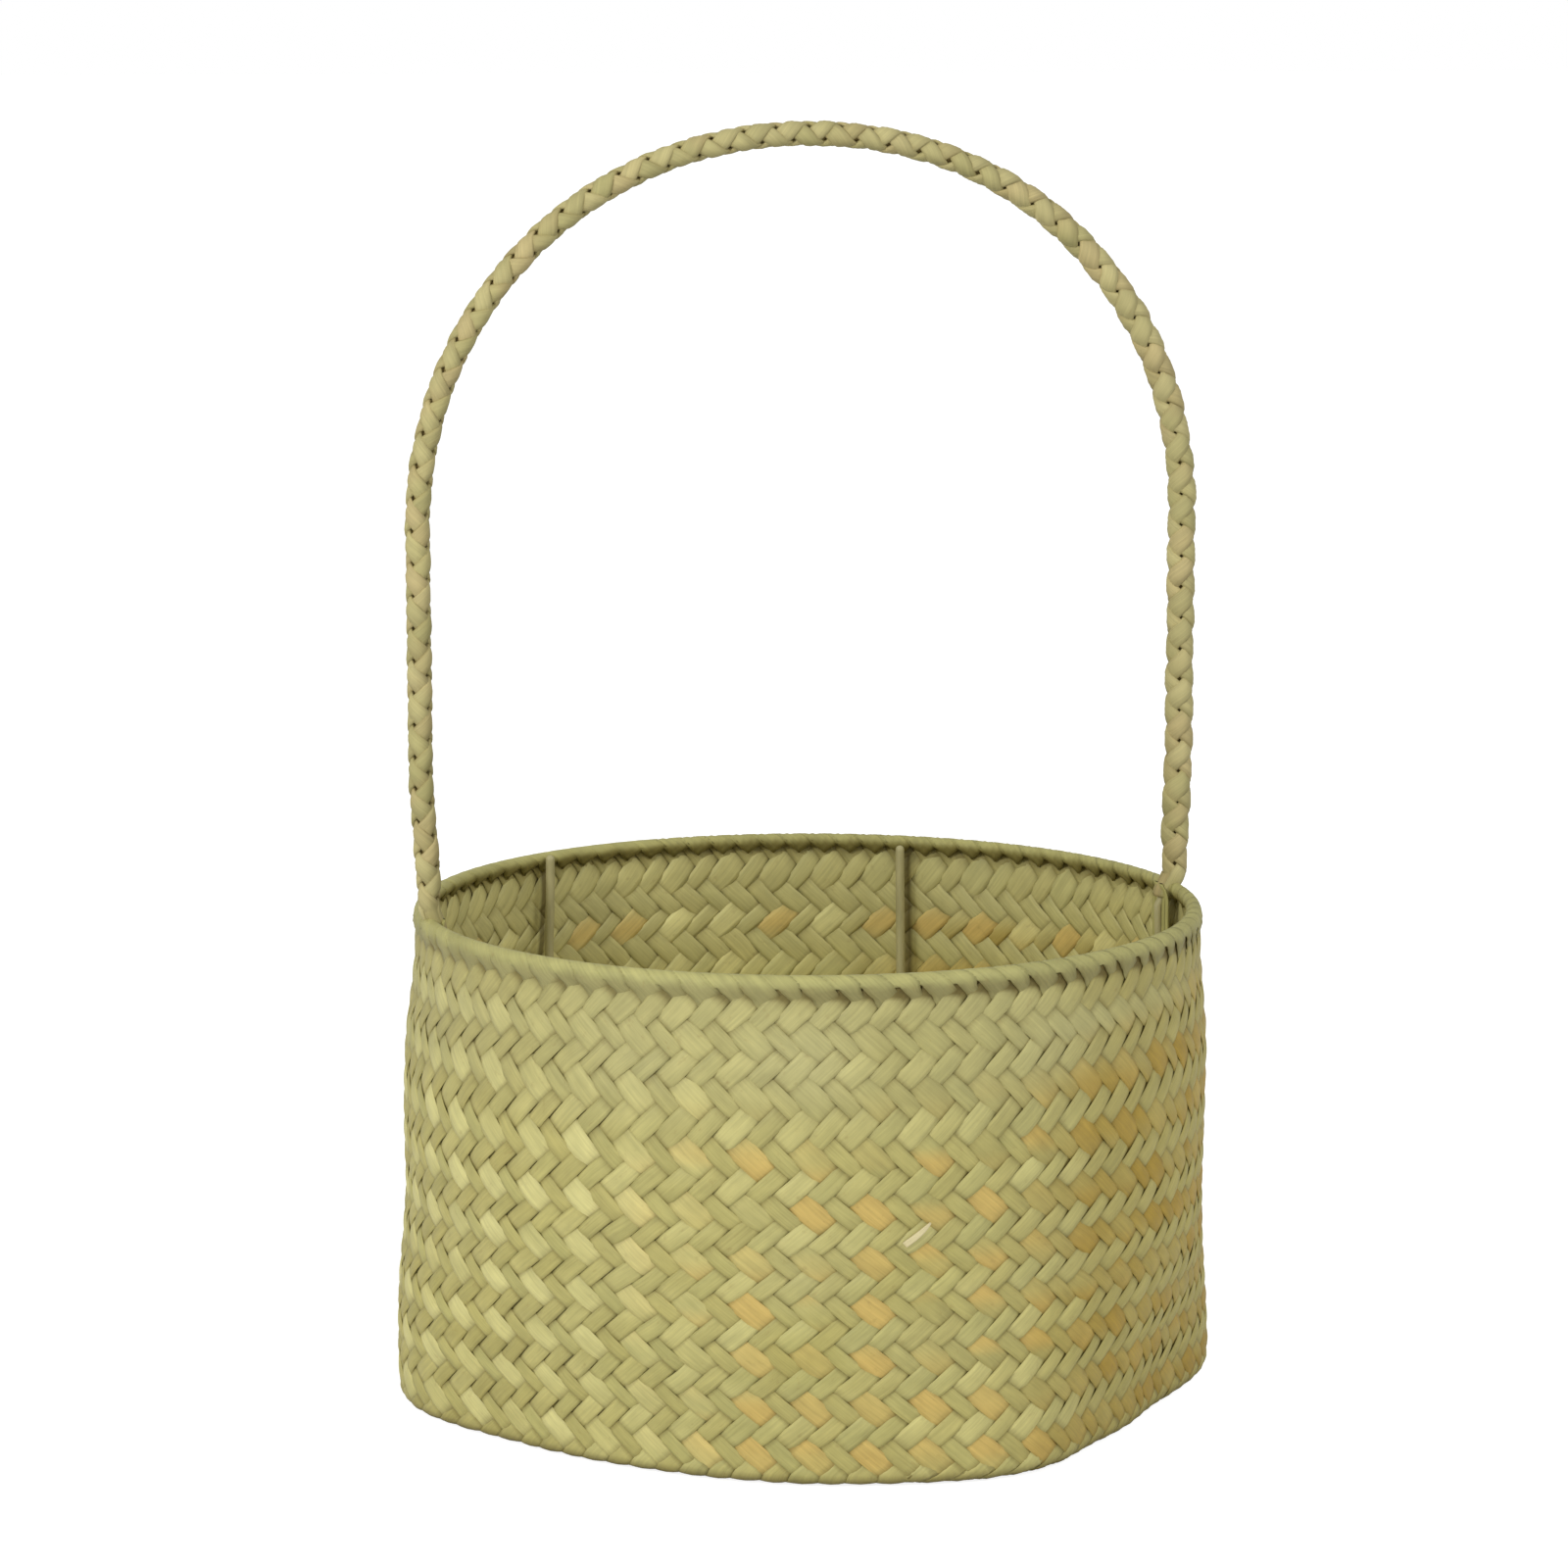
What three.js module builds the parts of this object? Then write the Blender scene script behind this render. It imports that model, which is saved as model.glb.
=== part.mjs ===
import * as THREE from 'three';

// Handled basket, plaited on the bias from flat leaf strips. The strips of the wall are folded over a
// wire hoop to make the border. Inside, four wire stakes and the two legs of the handle's wire run down
// the wall to a wire hoop in the corner of the floor. The handle is one tall fixed arch: a round
// braid of four strands about a wire, with the strands' tails laid down inside the border.
// Units are millimetres. The origin is the middle of the underside, +Z is up and the handle
// stands in the XZ plane.

// Body, measured over the outside
const BODY_HEIGHT = 157;
const RIM_DIAMETER = 250;
const BELLY_DIAMETER = 254.6;
const BELLY_HEIGHT = 112;
const WAIST_DIAMETER = 253;
const WAIST_HEIGHT = 62;
const BASE_DIAMETER = 249.6;
const CORNER_KICK_X = 8.2;
const CORNER_KICK_Y = 3;
const CORNER_TOP = 71;
const LEFT_BULGE = 2.4;
const LEFT_BULGE_RISE = 40;
const LEFT_BULGE_FALL = 80;
const BOTTOM_EDGE_RADIUS = 5;
const SHOULDER_DROP = 4;
const WALL_THICKNESS = 2;
const FLOOR_THICKNESS = 2;

// Folded border
const STRIPS_ROUND = 88;
const STRIP_THICKNESS = 0.8;
const FOLD_SLIT_DEPTH = 0.5;
const FOLD_TOOTH = 2;
const FOLD_SLANT = 1.2;
const FOLD_DROP_OUTSIDE = 4.3;
const FOLD_DROP_INSIDE = 9;

// Wire frame
const RIM_HOOP_WIRE = 2.4;
const BASE_HOOP_WIRE = 3;
const BASE_HOOP_INSET = 0.8;
const STAKE_WIRE = 3;
const STAKE_TOP_BELOW_RIM = 1;
const BACK_RIGHT_BEARING = 59.5;
const BACK_LEFT_BEARING = 122;

// Handle
const HANDLE_HEIGHT = 402.3;
const ARCH_DIAMETER = 248.4;
const ARCH_RISE = 120.9;
const ARCH_SQUARENESS = 2.06;
const HANDLE_WIRE = 3;
const BRAID_DIAMETER = 8;
const BRAID_SWELL = 0.15;
const BRAID_HOLLOW = 0.8;
const BRAID_PITCH = 20;
const LEG_BEND_LENGTH = 14;
const LEG_BEND_END = 2;
const TAIL_WIDTH = 2.6;
const TAIL_LENGTH = 30;
const OUTER_TAIL_LENGTH = 24;

// Gap kept between pieces that lie against each other
const CLEARANCE = 0.3;

// Facets
const BODY_COLUMNS = 72;
const HOOP_COLUMNS = 62;
const HOOP_SIDES = 6;
const WIRE_SIDES = 8;
const BRAID_SIDES = 8;
const FOLD_ARC_STEPS = 3;

// Sizes that follow from the ones above
const FOLD_FACET = Math.cos( Math.PI / ( 2 * FOLD_ARC_STEPS ) );
const FOLD_INNER_RADIUS = ( RIM_HOOP_WIRE / 2 + CLEARANCE ) / FOLD_FACET;
const FOLD_OUTER_RADIUS = FOLD_INNER_RADIUS + STRIP_THICKNESS / FOLD_FACET;
const RIM_HOOP_RADIUS = RIM_DIAMETER / 2 - FOLD_OUTER_RADIUS;
const RIM_HOOP_HEIGHT = BODY_HEIGHT - FOLD_OUTER_RADIUS;
const LEAF_INNER = WALL_THICKNESS / 2 + 1.5 * CLEARANCE;
const WALL_TOP = RIM_HOOP_HEIGHT - RIM_HOOP_WIRE / 2 - CLEARANCE;
const NECK_RADIUS = RIM_HOOP_RADIUS + WALL_THICKNESS / 2;
const BORDER_INSIDE = RIM_HOOP_RADIUS - FOLD_OUTER_RADIUS;
const LEAF_FOOT = RIM_HOOP_HEIGHT - FOLD_DROP_OUTSIDE - CLEARANCE;
const SHOULDER_HEIGHT = LEAF_FOOT - SHOULDER_DROP;
const BORDER_FOOT = RIM_HOOP_HEIGHT - FOLD_DROP_INSIDE;
const FLOOR_EDGE = BASE_DIAMETER / 2 - BOTTOM_EDGE_RADIUS - CLEARANCE;
const BASE_HOOP_HEIGHT = FLOOR_THICKNESS + CLEARANCE + BASE_HOOP_WIRE / 2;
const UPRIGHT_FOOT = BASE_HOOP_HEIGHT + BASE_HOOP_WIRE / 2 + CLEARANCE;
const ARCH_RADIUS = ARCH_DIAMETER / 2;
const ARCH_SPRING = HANDLE_HEIGHT - BRAID_DIAMETER / 2 - ARCH_RISE;
const BRAID_FOOT = BODY_HEIGHT + CLEARANCE;
const LEG_AT_BORDER = BORDER_INSIDE - CLEARANCE - HANDLE_WIRE / 2;

const ease = ( t ) => {

	const k = THREE.MathUtils.clamp( t, 0, 1 );
	return k * k * ( 3 - 2 * k );

};

const between = ( a, b, t ) => a + ( b - a ) * ease( t );

// Round body's outside radius at a height, without the base's corners

function roundRadius( z ) {

	const base = BASE_DIAMETER / 2;
	const waist = WAIST_DIAMETER / 2;
	const belly = BELLY_DIAMETER / 2;
	const shoulder = RIM_DIAMETER / 2;
	const along = ( low, high ) => ( z - low ) / ( high - low );
	if ( z < WAIST_HEIGHT ) return between( base, waist, along( BOTTOM_EDGE_RADIUS, WAIST_HEIGHT ) );
	if ( z < BELLY_HEIGHT ) return between( waist, belly, along( WAIST_HEIGHT, BELLY_HEIGHT ) );
	if ( z < SHOULDER_HEIGHT ) return between( belly, shoulder, along( BELLY_HEIGHT, SHOULDER_HEIGHT ) );
	return between( shoulder, NECK_RADIUS, along( SHOULDER_HEIGHT, LEAF_FOOT ) );

}

// The base is a soft square whose corners point along X and Y. It dies out above the waist.

function cornerKick( z, bearing ) {

	const left = 1 - ease( ( z - BOTTOM_EDGE_RADIUS ) / ( CORNER_TOP - BOTTOM_EDGE_RADIUS ) );
	const kick = CORNER_KICK_X * Math.cos( bearing ) ** 2 + CORNER_KICK_Y * Math.sin( bearing ) ** 2;
	return kick * left * Math.cos( 4 * bearing );

}

// The wall bulges a little further on the left, over the base's corner there

function leftBulge( z, bearing ) {

	const rise = ease( ( z - BOTTOM_EDGE_RADIUS ) / LEFT_BULGE_RISE );
	const fall = 1 - ease( ( z - LEFT_BULGE_FALL ) / ( SHOULDER_HEIGHT - LEFT_BULGE_FALL ) );
	return LEFT_BULGE * rise * fall * Math.max( 0, - Math.cos( bearing ) ) ** 2;

}

const wallOutside = ( z, bearing ) => roundRadius( z ) + cornerKick( z, bearing ) + leftBulge( z, bearing );

const wallInside = ( z, bearing ) => wallOutside( z, bearing ) - WALL_THICKNESS;

// A closed body laid over rings of points. Looped rings join end to end; others get flat end caps.

function skin( rings, looped ) {

	const sides = rings[ 0 ].length;
	const points = rings.flat();
	const faces = [];
	const spans = looped ? rings.length : rings.length - 1;
	for ( let i = 0; i < spans; i ++ ) {

		const here = i * sides;
		const next = ( ( i + 1 ) % rings.length ) * sides;
		for ( let j = 0; j < sides; j ++ ) {

			const k = ( j + 1 ) % sides;
			faces.push( here + j, here + k, next + k );
			faces.push( here + j, next + k, next + j );

		}

	}

	if ( ! looped ) {

		const last = ( rings.length - 1 ) * sides;
		for ( let j = 1; j < sides - 1; j ++ ) {

			faces.push( 0, j + 1, j );
			faces.push( last, last + j, last + j + 1 );

		}

	}

	if ( signedVolume( points, faces ) < 0 ) faces.reverse();
	const geometry = new THREE.BufferGeometry();
	const numbers = points.flatMap( ( point ) => point.toArray() );
	geometry.setAttribute( 'position', new THREE.Float32BufferAttribute( numbers, 3 ) );
	geometry.setIndex( faces );
	geometry.computeVertexNormals();
	return geometry;

}

function signedVolume( points, faces ) {

	const cross = new THREE.Vector3();
	let total = 0;
	for ( let i = 0; i < faces.length; i += 3 ) {

		cross.crossVectors( points[ faces[ i + 1 ] ], points[ faces[ i + 2 ] ] );
		total += points[ faces[ i ] ].dot( cross );

	}

	return total;

}

const polar = ( radius, bearing, z ) => {

	return new THREE.Vector3( radius * Math.cos( bearing ), radius * Math.sin( bearing ), z );

};

// A level ring about the basket's axis, its radius given for each bearing

function levelRing( radiusAt, height, columns ) {

	const ring = [];
	for ( let i = 0; i < columns; i ++ ) {

		const bearing = 2 * Math.PI * i / columns;
		ring.push( polar( radiusAt( bearing ), bearing, height ) );

	}

	return ring;

}

// A round section about a centre, in the plane of two directions

function roundSection( centre, across, up, radius, sides ) {

	const ring = [];
	for ( let i = 0; i < sides; i ++ ) {

		const angle = 2 * Math.PI * ( i + 0.5 ) / sides;
		const point = centre.clone();
		point.addScaledVector( across, radius * Math.cos( angle ) );
		point.addScaledVector( up, radius * Math.sin( angle ) );
		ring.push( point );

	}

	return ring;

}

// Plaited wall: a shell of even thickness that turns in under the bottom edge

function wallGeometry() {

	const rings = [];
	const edge = BASE_DIAMETER / 2 - BOTTOM_EDGE_RADIUS;
	const bottomEdge = ( radius, angle ) => {

		const z = BOTTOM_EDGE_RADIUS - radius * Math.cos( angle );
		const out = edge + radius * Math.sin( angle );
		return levelRing( ( bearing ) => out + cornerKick( 0, bearing ), z, BODY_COLUMNS );

	};

	const turn = [ 0, Math.PI / 4, Math.PI / 2 ];
	const lowerSpan = WAIST_HEIGHT - BOTTOM_EDGE_RADIUS;
	const outsideHeights = [
		BOTTOM_EDGE_RADIUS + lowerSpan * 0.25,
		BOTTOM_EDGE_RADIUS + lowerSpan * 0.5,
		BOTTOM_EDGE_RADIUS + lowerSpan * 0.75,
		WAIST_HEIGHT,
		( WAIST_HEIGHT + BELLY_HEIGHT ) / 2,
		BELLY_HEIGHT,
		( BELLY_HEIGHT + SHOULDER_HEIGHT ) / 2,
		SHOULDER_HEIGHT,
		LEAF_FOOT,
		WALL_TOP
	];
	for ( const angle of turn ) rings.push( bottomEdge( BOTTOM_EDGE_RADIUS, angle ) );
	for ( const z of outsideHeights ) rings.push( levelRing( ( b ) => wallOutside( z, b ), z, BODY_COLUMNS ) );
	const insideHeights = outsideHeights.slice().reverse();
	for ( const z of insideHeights ) rings.push( levelRing( ( b ) => wallInside( z, b ), z, BODY_COLUMNS ) );
	for ( const angle of turn.slice().reverse() ) {

		rings.push( bottomEdge( BOTTOM_EDGE_RADIUS - WALL_THICKNESS, angle ) );

	}

	return skin( rings, true );

}

// Plaited floor: a flat mat inside the wall's turned-in edge

function floorGeometry() {

	const outline = new THREE.Shape();
	const ring = levelRing( ( bearing ) => FLOOR_EDGE + cornerKick( 0, bearing ), 0, BODY_COLUMNS );
	outline.setFromPoints( ring.map( ( p ) => new THREE.Vector2( p.x, p.y ) ) );
	return new THREE.ExtrudeGeometry( outline, { depth: FLOOR_THICKNESS, bevelEnabled: false } );

}

// Folded border: every strip of the wall turned over the hoop, with a leaf outside and a leaf inside.
// Each fold is a raised crest between two slits, and leans all along, so that its lower end lies to
// the right as seen from outside.

function borderGeometry() {

	const section = borderSection();
	const columns = 2 * STRIPS_ROUND;
	const rings = [];
	for ( let i = 0; i < columns; i ++ ) {

		const inSlit = i % 2 === 1;
		const middle = 2 * Math.PI * i / columns;
		rings.push( section.map( ( { u, w, out, run, onFace, leafEnd } ) => {

			const depth = onFace && inSlit ? - FOLD_SLIT_DEPTH : 0;
			const lift = leafEnd && inSlit ? FOLD_TOOTH : 0;
			const radius = RIM_HOOP_RADIUS + u + depth * out[ 0 ];
			return polar( radius, middle + run / RIM_HOOP_RADIUS, RIM_HOOP_HEIGHT + w + depth * out[ 1 ] + lift );

		} ) );

	}

	return skin( rings, true );

}

// The border's section: its outer face from the outside leaf's end over the hoop to the inside
// leaf's end, then its inner face back. run is how far the lean has carried each point sideways.

function borderSection() {

	const leaf = ( hand, drop, thick ) => ( {
		u: hand * ( LEAF_INNER + thick ),
		w: - drop,
		out: [ hand, 0 ],
		leafEnd: true
	} );
	const face = ( radius, thick ) => {

		const points = [ leaf( 1, FOLD_DROP_OUTSIDE, thick ) ];
		for ( let i = 0; i <= FOLD_ARC_STEPS; i ++ ) {

			const angle = Math.PI * i / FOLD_ARC_STEPS;
			const out = [ Math.cos( angle ), Math.sin( angle ) ];
			points.push( { u: radius * out[ 0 ], w: radius * out[ 1 ], out } );

		}

		points.push( leaf( - 1, FOLD_DROP_INSIDE, thick ) );
		let run = FOLD_DROP_OUTSIDE * FOLD_SLANT;
		points.forEach( ( point, i ) => {

			if ( i > 0 ) run -= FOLD_SLANT * Math.abs( point.w - points[ i - 1 ].w );
			point.run = run;

		} );
		return points;

	};

	const outer = face( FOLD_OUTER_RADIUS, STRIP_THICKNESS ).map( ( point ) => ( { ...point, onFace: true } ) );
	return [ ...outer, ...face( FOLD_INNER_RADIUS, 0 ).reverse() ];

}

// A wire hoop about the basket's axis

function hoopGeometry( radiusAt, height, wire, columns ) {

	const up = new THREE.Vector3( 0, 0, 1 );
	const rings = [];
	for ( let i = 0; i < columns; i ++ ) {

		const bearing = 2 * Math.PI * i / columns;
		const centre = polar( radiusAt( bearing ), bearing, height );
		rings.push( roundSection( centre, polar( 1, bearing, 0 ), up, wire / 2, HOOP_SIDES ) );

	}

	return skin( rings, true );

}

// The base hoop lies on the floor, just inside the line where the mat turns up into the wall

const baseHoopRadius = ( bearing ) => FLOOR_EDGE - BASE_HOOP_INSET + cornerKick( 0, bearing );

// Distance of an upright wire from the axis. It runs straight from the base hoop to the border's
// inside, unless the wall comes further in than that.

function uprightRadius( z, bearing, wire ) {

	const foot = baseHoopRadius( bearing );
	const atBorder = BORDER_INSIDE - CLEARANCE - wire / 2;
	const rise = THREE.MathUtils.clamp( ( z - UPRIGHT_FOOT ) / ( BORDER_FOOT - UPRIGHT_FOOT ), 0, 1 );
	const onWall = wallInside( z, bearing ) - 2 * CLEARANCE - wire / 2;
	return Math.min( foot + ( atBorder - foot ) * rise, onWall );

}

// Heights of an upright's sections, from its foot on the base hoop to its top

function uprightHeights( top ) {

	const quarter = ( WAIST_HEIGHT - UPRIGHT_FOOT ) / 4;
	const low = [ 0, 1, 2, 3, 4 ].map( ( i ) => UPRIGHT_FOOT + quarter * i );
	const middle = ( WAIST_HEIGHT + BELLY_HEIGHT ) / 2;
	const high = BELLY_HEIGHT + ( SHOULDER_HEIGHT - BELLY_HEIGHT ) / 2;
	return [ ...low, middle, BELLY_HEIGHT, high, BORDER_FOOT, top ];

}

// Wire stake inside the wall, drawn at bearing zero and turned to its place by its mesh

function stakeGeometry( bearing ) {

	const across = new THREE.Vector3( 1, 0, 0 );
	const along = new THREE.Vector3( 0, 1, 0 );
	const heights = uprightHeights( BODY_HEIGHT - STAKE_TOP_BELOW_RIM );
	const rings = heights.map( ( z ) => {

		const centre = new THREE.Vector3( uprightRadius( z, bearing, STAKE_WIRE ), 0, z );
		return roundSection( centre, across, along, STAKE_WIRE / 2, WIRE_SIDES );

	} );
	return skin( rings, false );

}

// Station of the handle's arch, which is a little squarer than half an ellipse

function archStation( angle ) {

	const across = Math.cos( angle ) / ARCH_RADIUS;
	const up = Math.sin( angle ) / ARCH_RISE;
	const power = ( value, n ) => Math.sign( value ) * Math.abs( value ) ** n;
	const total = Math.abs( across ) ** ARCH_SQUARENESS + Math.abs( up ) ** ARCH_SQUARENESS;
	const reach = total ** ( - 1 / ARCH_SQUARENESS );
	const centre = new THREE.Vector3( reach * Math.cos( angle ), 0, ARCH_SPRING + reach * Math.sin( angle ) );
	const outAcross = power( across, ARCH_SQUARENESS - 1 ) / ARCH_RADIUS;
	const outUp = power( up, ARCH_SQUARENESS - 1 ) / ARCH_RISE;
	return { centre, out: new THREE.Vector3( outAcross, 0, outUp ).normalize() };

}

// Stations along the handle above the border: up one leg, over the arch and down the other.
// Each has its middle and its outward direction in the handle's plane. The legs come straight down
// and bend in just above the border, to pass inside it. The bend ends LEG_BEND_END below the braid.

function handleStations( step ) {

	const stations = [];
	const legSteps = 2 * Math.round( ( ARCH_SPRING - BRAID_FOOT ) / step / 2 );
	const archSteps = 2 * Math.round( Math.PI * ( ARCH_RADIUS + ARCH_RISE ) / 2 / step / 2 );
	const legAt = ( i ) => {

		const z = BRAID_FOOT + ( ARCH_SPRING - BRAID_FOOT ) * i / legSteps;
		const bent = ( BRAID_FOOT - LEG_BEND_END + LEG_BEND_LENGTH - z ) / LEG_BEND_LENGTH;
		return [ between( ARCH_RADIUS, LEG_AT_BORDER, bent ), z ];

	};

	for ( let i = 0; i < legSteps; i ++ ) {

		const [ x, z ] = legAt( i );
		stations.push( { centre: new THREE.Vector3( x, 0, z ), out: new THREE.Vector3( 1, 0, 0 ) } );

	}

	for ( let i = 0; i <= archSteps; i ++ ) {

		stations.push( archStation( Math.PI * i / archSteps ) );

	}

	for ( let i = legSteps - 1; i >= 0; i -- ) {

		const [ x, z ] = legAt( i );
		stations.push( { centre: new THREE.Vector3( - x, 0, z ), out: new THREE.Vector3( - 1, 0, 0 ) } );

	}

	return stations;

}

// Braided cover of the handle. Four faces of crowns run along it, and the crowns of neighbouring
// faces are half a crown apart, as four strands crossing over and under make them. The strands are
// thicker at their start, so the right leg's braid is the fuller one, up to the arch's side.

function braidGeometry( stations ) {

	const side = new THREE.Vector3( 0, 1, 0 );
	const bore = ( HANDLE_WIRE / 2 + CLEARANCE ) / Math.cos( Math.PI / BRAID_SIDES );
	const outer = stations.map( ( { centre, out }, n ) => {

		const crown = BRAID_DIAMETER / 2 * ( 1 + BRAID_SWELL * ease( ( out.x - 0.2 ) / 0.7 ) );
		const valley = crown - BRAID_HOLLOW;
		const corner = crown - BRAID_HOLLOW / 2;
		const ring = [];
		for ( let i = 0; i < BRAID_SIDES; i ++ ) {

			const angle = 2 * Math.PI * i / BRAID_SIDES;
			const onFace = i % 2 === 0;
			const face = Math.floor( i * 4 / BRAID_SIDES );
			const raised = ( n + face ) % 2 === 0;
			const radius = onFace ? ( raised ? crown : valley ) : corner;
			const point = centre.clone();
			point.addScaledVector( out, radius * Math.cos( angle ) );
			point.addScaledVector( side, radius * Math.sin( angle ) );
			ring.push( point );

		}

		return ring;

	} );
	const inner = [];
	for ( let n = stations.length - 1; n >= 0; n -= 2 ) {

		const { centre, out } = stations[ n ];
		inner.push( roundSection( centre, out, side, bore, BRAID_SIDES ) );

	}

	return skin( [ ...outer, ...inner ], true );

}

// The handle's wire: the arch, then both legs down inside the border to the base hoop

function handleWireGeometry( stations ) {

	const side = new THREE.Vector3( 0, 1, 0 );
	const heights = uprightHeights( RIM_HOOP_HEIGHT );
	const leg = ( z, hand ) => ( {
		centre: new THREE.Vector3( hand * uprightRadius( z, 0, HANDLE_WIRE ), 0, z ),
		out: new THREE.Vector3( hand, 0, 0 )
	} );
	const route = heights.map( ( z ) => leg( z, 1 ) );
	for ( let n = 0; n < stations.length; n += 2 ) route.push( stations[ n ] );
	for ( const z of heights.slice().reverse() ) route.push( leg( z, - 1 ) );
	const sectionAt = ( { centre, out } ) => roundSection( centre, out, side, HANDLE_WIRE / 2, WIRE_SIDES );
	return skin( route.map( sectionAt ), false );

}

// Tail of one of the braid's four strands: a flat strip laid down inside the border beside the wire.
// Two lie on each side of the wire, and the outer ones are the shorter.

function tailGeometry( hand, order ) {

	const start = HANDLE_WIRE / 2 + CLEARANCE + order * ( TAIL_WIDTH + CLEARANCE );
	const length = order === 0 ? TAIL_LENGTH : OUTER_TAIL_LENGTH;
	const onWall = wallInside( BODY_HEIGHT - length, 0 ) - 2 * CLEARANCE;
	const face = Math.min( BORDER_INSIDE - CLEARANCE, onWall );
	const strip = new THREE.BoxGeometry( STRIP_THICKNESS, TAIL_WIDTH, length );
	strip.translate( face - STRIP_THICKNESS / 2, hand * ( start + TAIL_WIDTH / 2 ), BODY_HEIGHT - length / 2 );
	return strip;

}

const leafPale = { color: 0xb9b377, roughness: 0.75, metalness: 0 };
const leafGreen = { color: 0xa39d63, roughness: 0.8, metalness: 0 };
const leafBraid = { color: 0xa99f66, roughness: 0.75, metalness: 0 };
const wireDull = { color: 0x8c8a5f, roughness: 0.5, metalness: 0.4 };

function piece( name, geometry, look ) {

	const mesh = new THREE.Mesh( geometry, new THREE.MeshStandardMaterial( look ) );
	mesh.name = name;
	return mesh;

}

const basket = new THREE.Group();
basket.name = 'handled_basket';

const body = new THREE.Group();
body.add( piece( 'plaited_wall', wallGeometry(), leafPale ) );
body.add( piece( 'plaited_floor', floorGeometry(), leafGreen ) );
body.add( piece( 'folded_border', borderGeometry(), leafPale ) );
basket.add( body );

const frame = new THREE.Group();
const rimHoop = hoopGeometry( () => RIM_HOOP_RADIUS, RIM_HOOP_HEIGHT, RIM_HOOP_WIRE, HOOP_COLUMNS );
const baseHoop = hoopGeometry( baseHoopRadius, BASE_HOOP_HEIGHT, BASE_HOOP_WIRE, BODY_COLUMNS );
frame.add( piece( 'rim_hoop', rimHoop, wireDull ) );
frame.add( piece( 'base_hoop', baseHoop, wireDull ) );
const stakePlaces = {
	stake_back_right: BACK_RIGHT_BEARING,
	stake_back_left: BACK_LEFT_BEARING,
	stake_front_left: 180 + BACK_RIGHT_BEARING,
	stake_front_right: - BACK_RIGHT_BEARING
};
for ( const [ name, degrees ] of Object.entries( stakePlaces ) ) {

	const bearing = THREE.MathUtils.degToRad( degrees );
	const stake = piece( name, stakeGeometry( bearing ), wireDull );
	stake.rotation.z = bearing;
	frame.add( stake );

}

basket.add( frame );

const handle = new THREE.Group();
const stations = handleStations( BRAID_PITCH / 4 );
handle.add( piece( 'handle_wire', handleWireGeometry( stations ), wireDull ) );
handle.add( piece( 'handle_braid', braidGeometry( stations ), leafBraid ) );
for ( const [ end, turn ] of [ [ 'right', 0 ], [ 'left', Math.PI ] ] ) {

	for ( const [ place, hand ] of [ [ 'a', - 1 ], [ 'b', 1 ] ] ) {

		for ( const [ rank, order ] of [ [ 'inner', 0 ], [ 'outer', 1 ] ] ) {

			const tail = piece( `braid_tail_${ end }_${ rank }_${ place }`, tailGeometry( hand, order ), leafBraid );
			tail.rotation.z = turn;
			handle.add( tail );

		}

	}

}

basket.add( handle );

export default basket;
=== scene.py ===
import math

import bpy
import numpy as np
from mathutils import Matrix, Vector


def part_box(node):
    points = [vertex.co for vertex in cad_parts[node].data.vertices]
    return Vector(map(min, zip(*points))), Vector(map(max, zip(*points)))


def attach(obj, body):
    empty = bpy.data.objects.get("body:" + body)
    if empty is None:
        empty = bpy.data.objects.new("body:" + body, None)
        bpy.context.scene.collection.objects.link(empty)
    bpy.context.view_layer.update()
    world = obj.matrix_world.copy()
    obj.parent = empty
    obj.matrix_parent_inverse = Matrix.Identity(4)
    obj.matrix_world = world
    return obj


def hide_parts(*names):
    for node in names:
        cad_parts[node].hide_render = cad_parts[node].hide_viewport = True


# Handled basket. A square mat of flat leaf strips, 44 each way, is turned up round its edge and
# plaited on as a round wall; the strips that lean up to the left are folded over a wire hoop.
# Inside are four wire stakes and the handle's wire legs. The handle is a four-strand round braid.
# Lengths are in millimetres up to the mesh builders, which turn them into metres. A level counts
# the plait's crossings up from the bottom edge, and is below 0 on the floor.

MM = 0.001

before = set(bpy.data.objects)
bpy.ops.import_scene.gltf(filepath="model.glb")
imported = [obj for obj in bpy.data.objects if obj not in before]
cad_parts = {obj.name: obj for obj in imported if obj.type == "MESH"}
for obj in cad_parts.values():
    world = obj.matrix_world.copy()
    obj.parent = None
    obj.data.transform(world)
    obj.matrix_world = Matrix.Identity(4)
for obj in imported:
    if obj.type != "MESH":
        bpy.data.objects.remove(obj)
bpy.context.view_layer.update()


def node_low(node):
    return np.array(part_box(node)[0]) / MM


def node_high(node):
    return np.array(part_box(node)[1]) / MM


# Sizes from the frame
RIM_HEIGHT = node_high("folded_border")[2]
RIM_RADIUS = node_high("folded_border")[0]
FLOOR_THICKNESS = node_high("plaited_floor")[2]
RIM_HOOP_WIRE = node_high("rim_hoop")[2] - node_low("rim_hoop")[2]
RIM_HOOP_HEIGHT = node_high("rim_hoop")[2] - RIM_HOOP_WIRE / 2
HANDLE_TOP = node_high("handle_braid")[2]

# Body's profile over the outside
BELLY_RADIUS = 127.3
BELLY_HEIGHT = 112.0
WAIST_RADIUS = 126.5
WAIST_HEIGHT = 62.0
BASE_RADIUS = 124.8
CORNER_KICK_X = 8.2
CORNER_KICK_Y = 3.0
CORNER_TOP = 71.0
LEFT_BULGE = 2.4
LEFT_BULGE_RISE = 40.0
LEFT_BULGE_FALL = 80.0
BOTTOM_EDGE_RADIUS = 5.0
SHOULDER_HEIGHT = 145.7
PLAIT_DEPTH = 1.0
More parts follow.
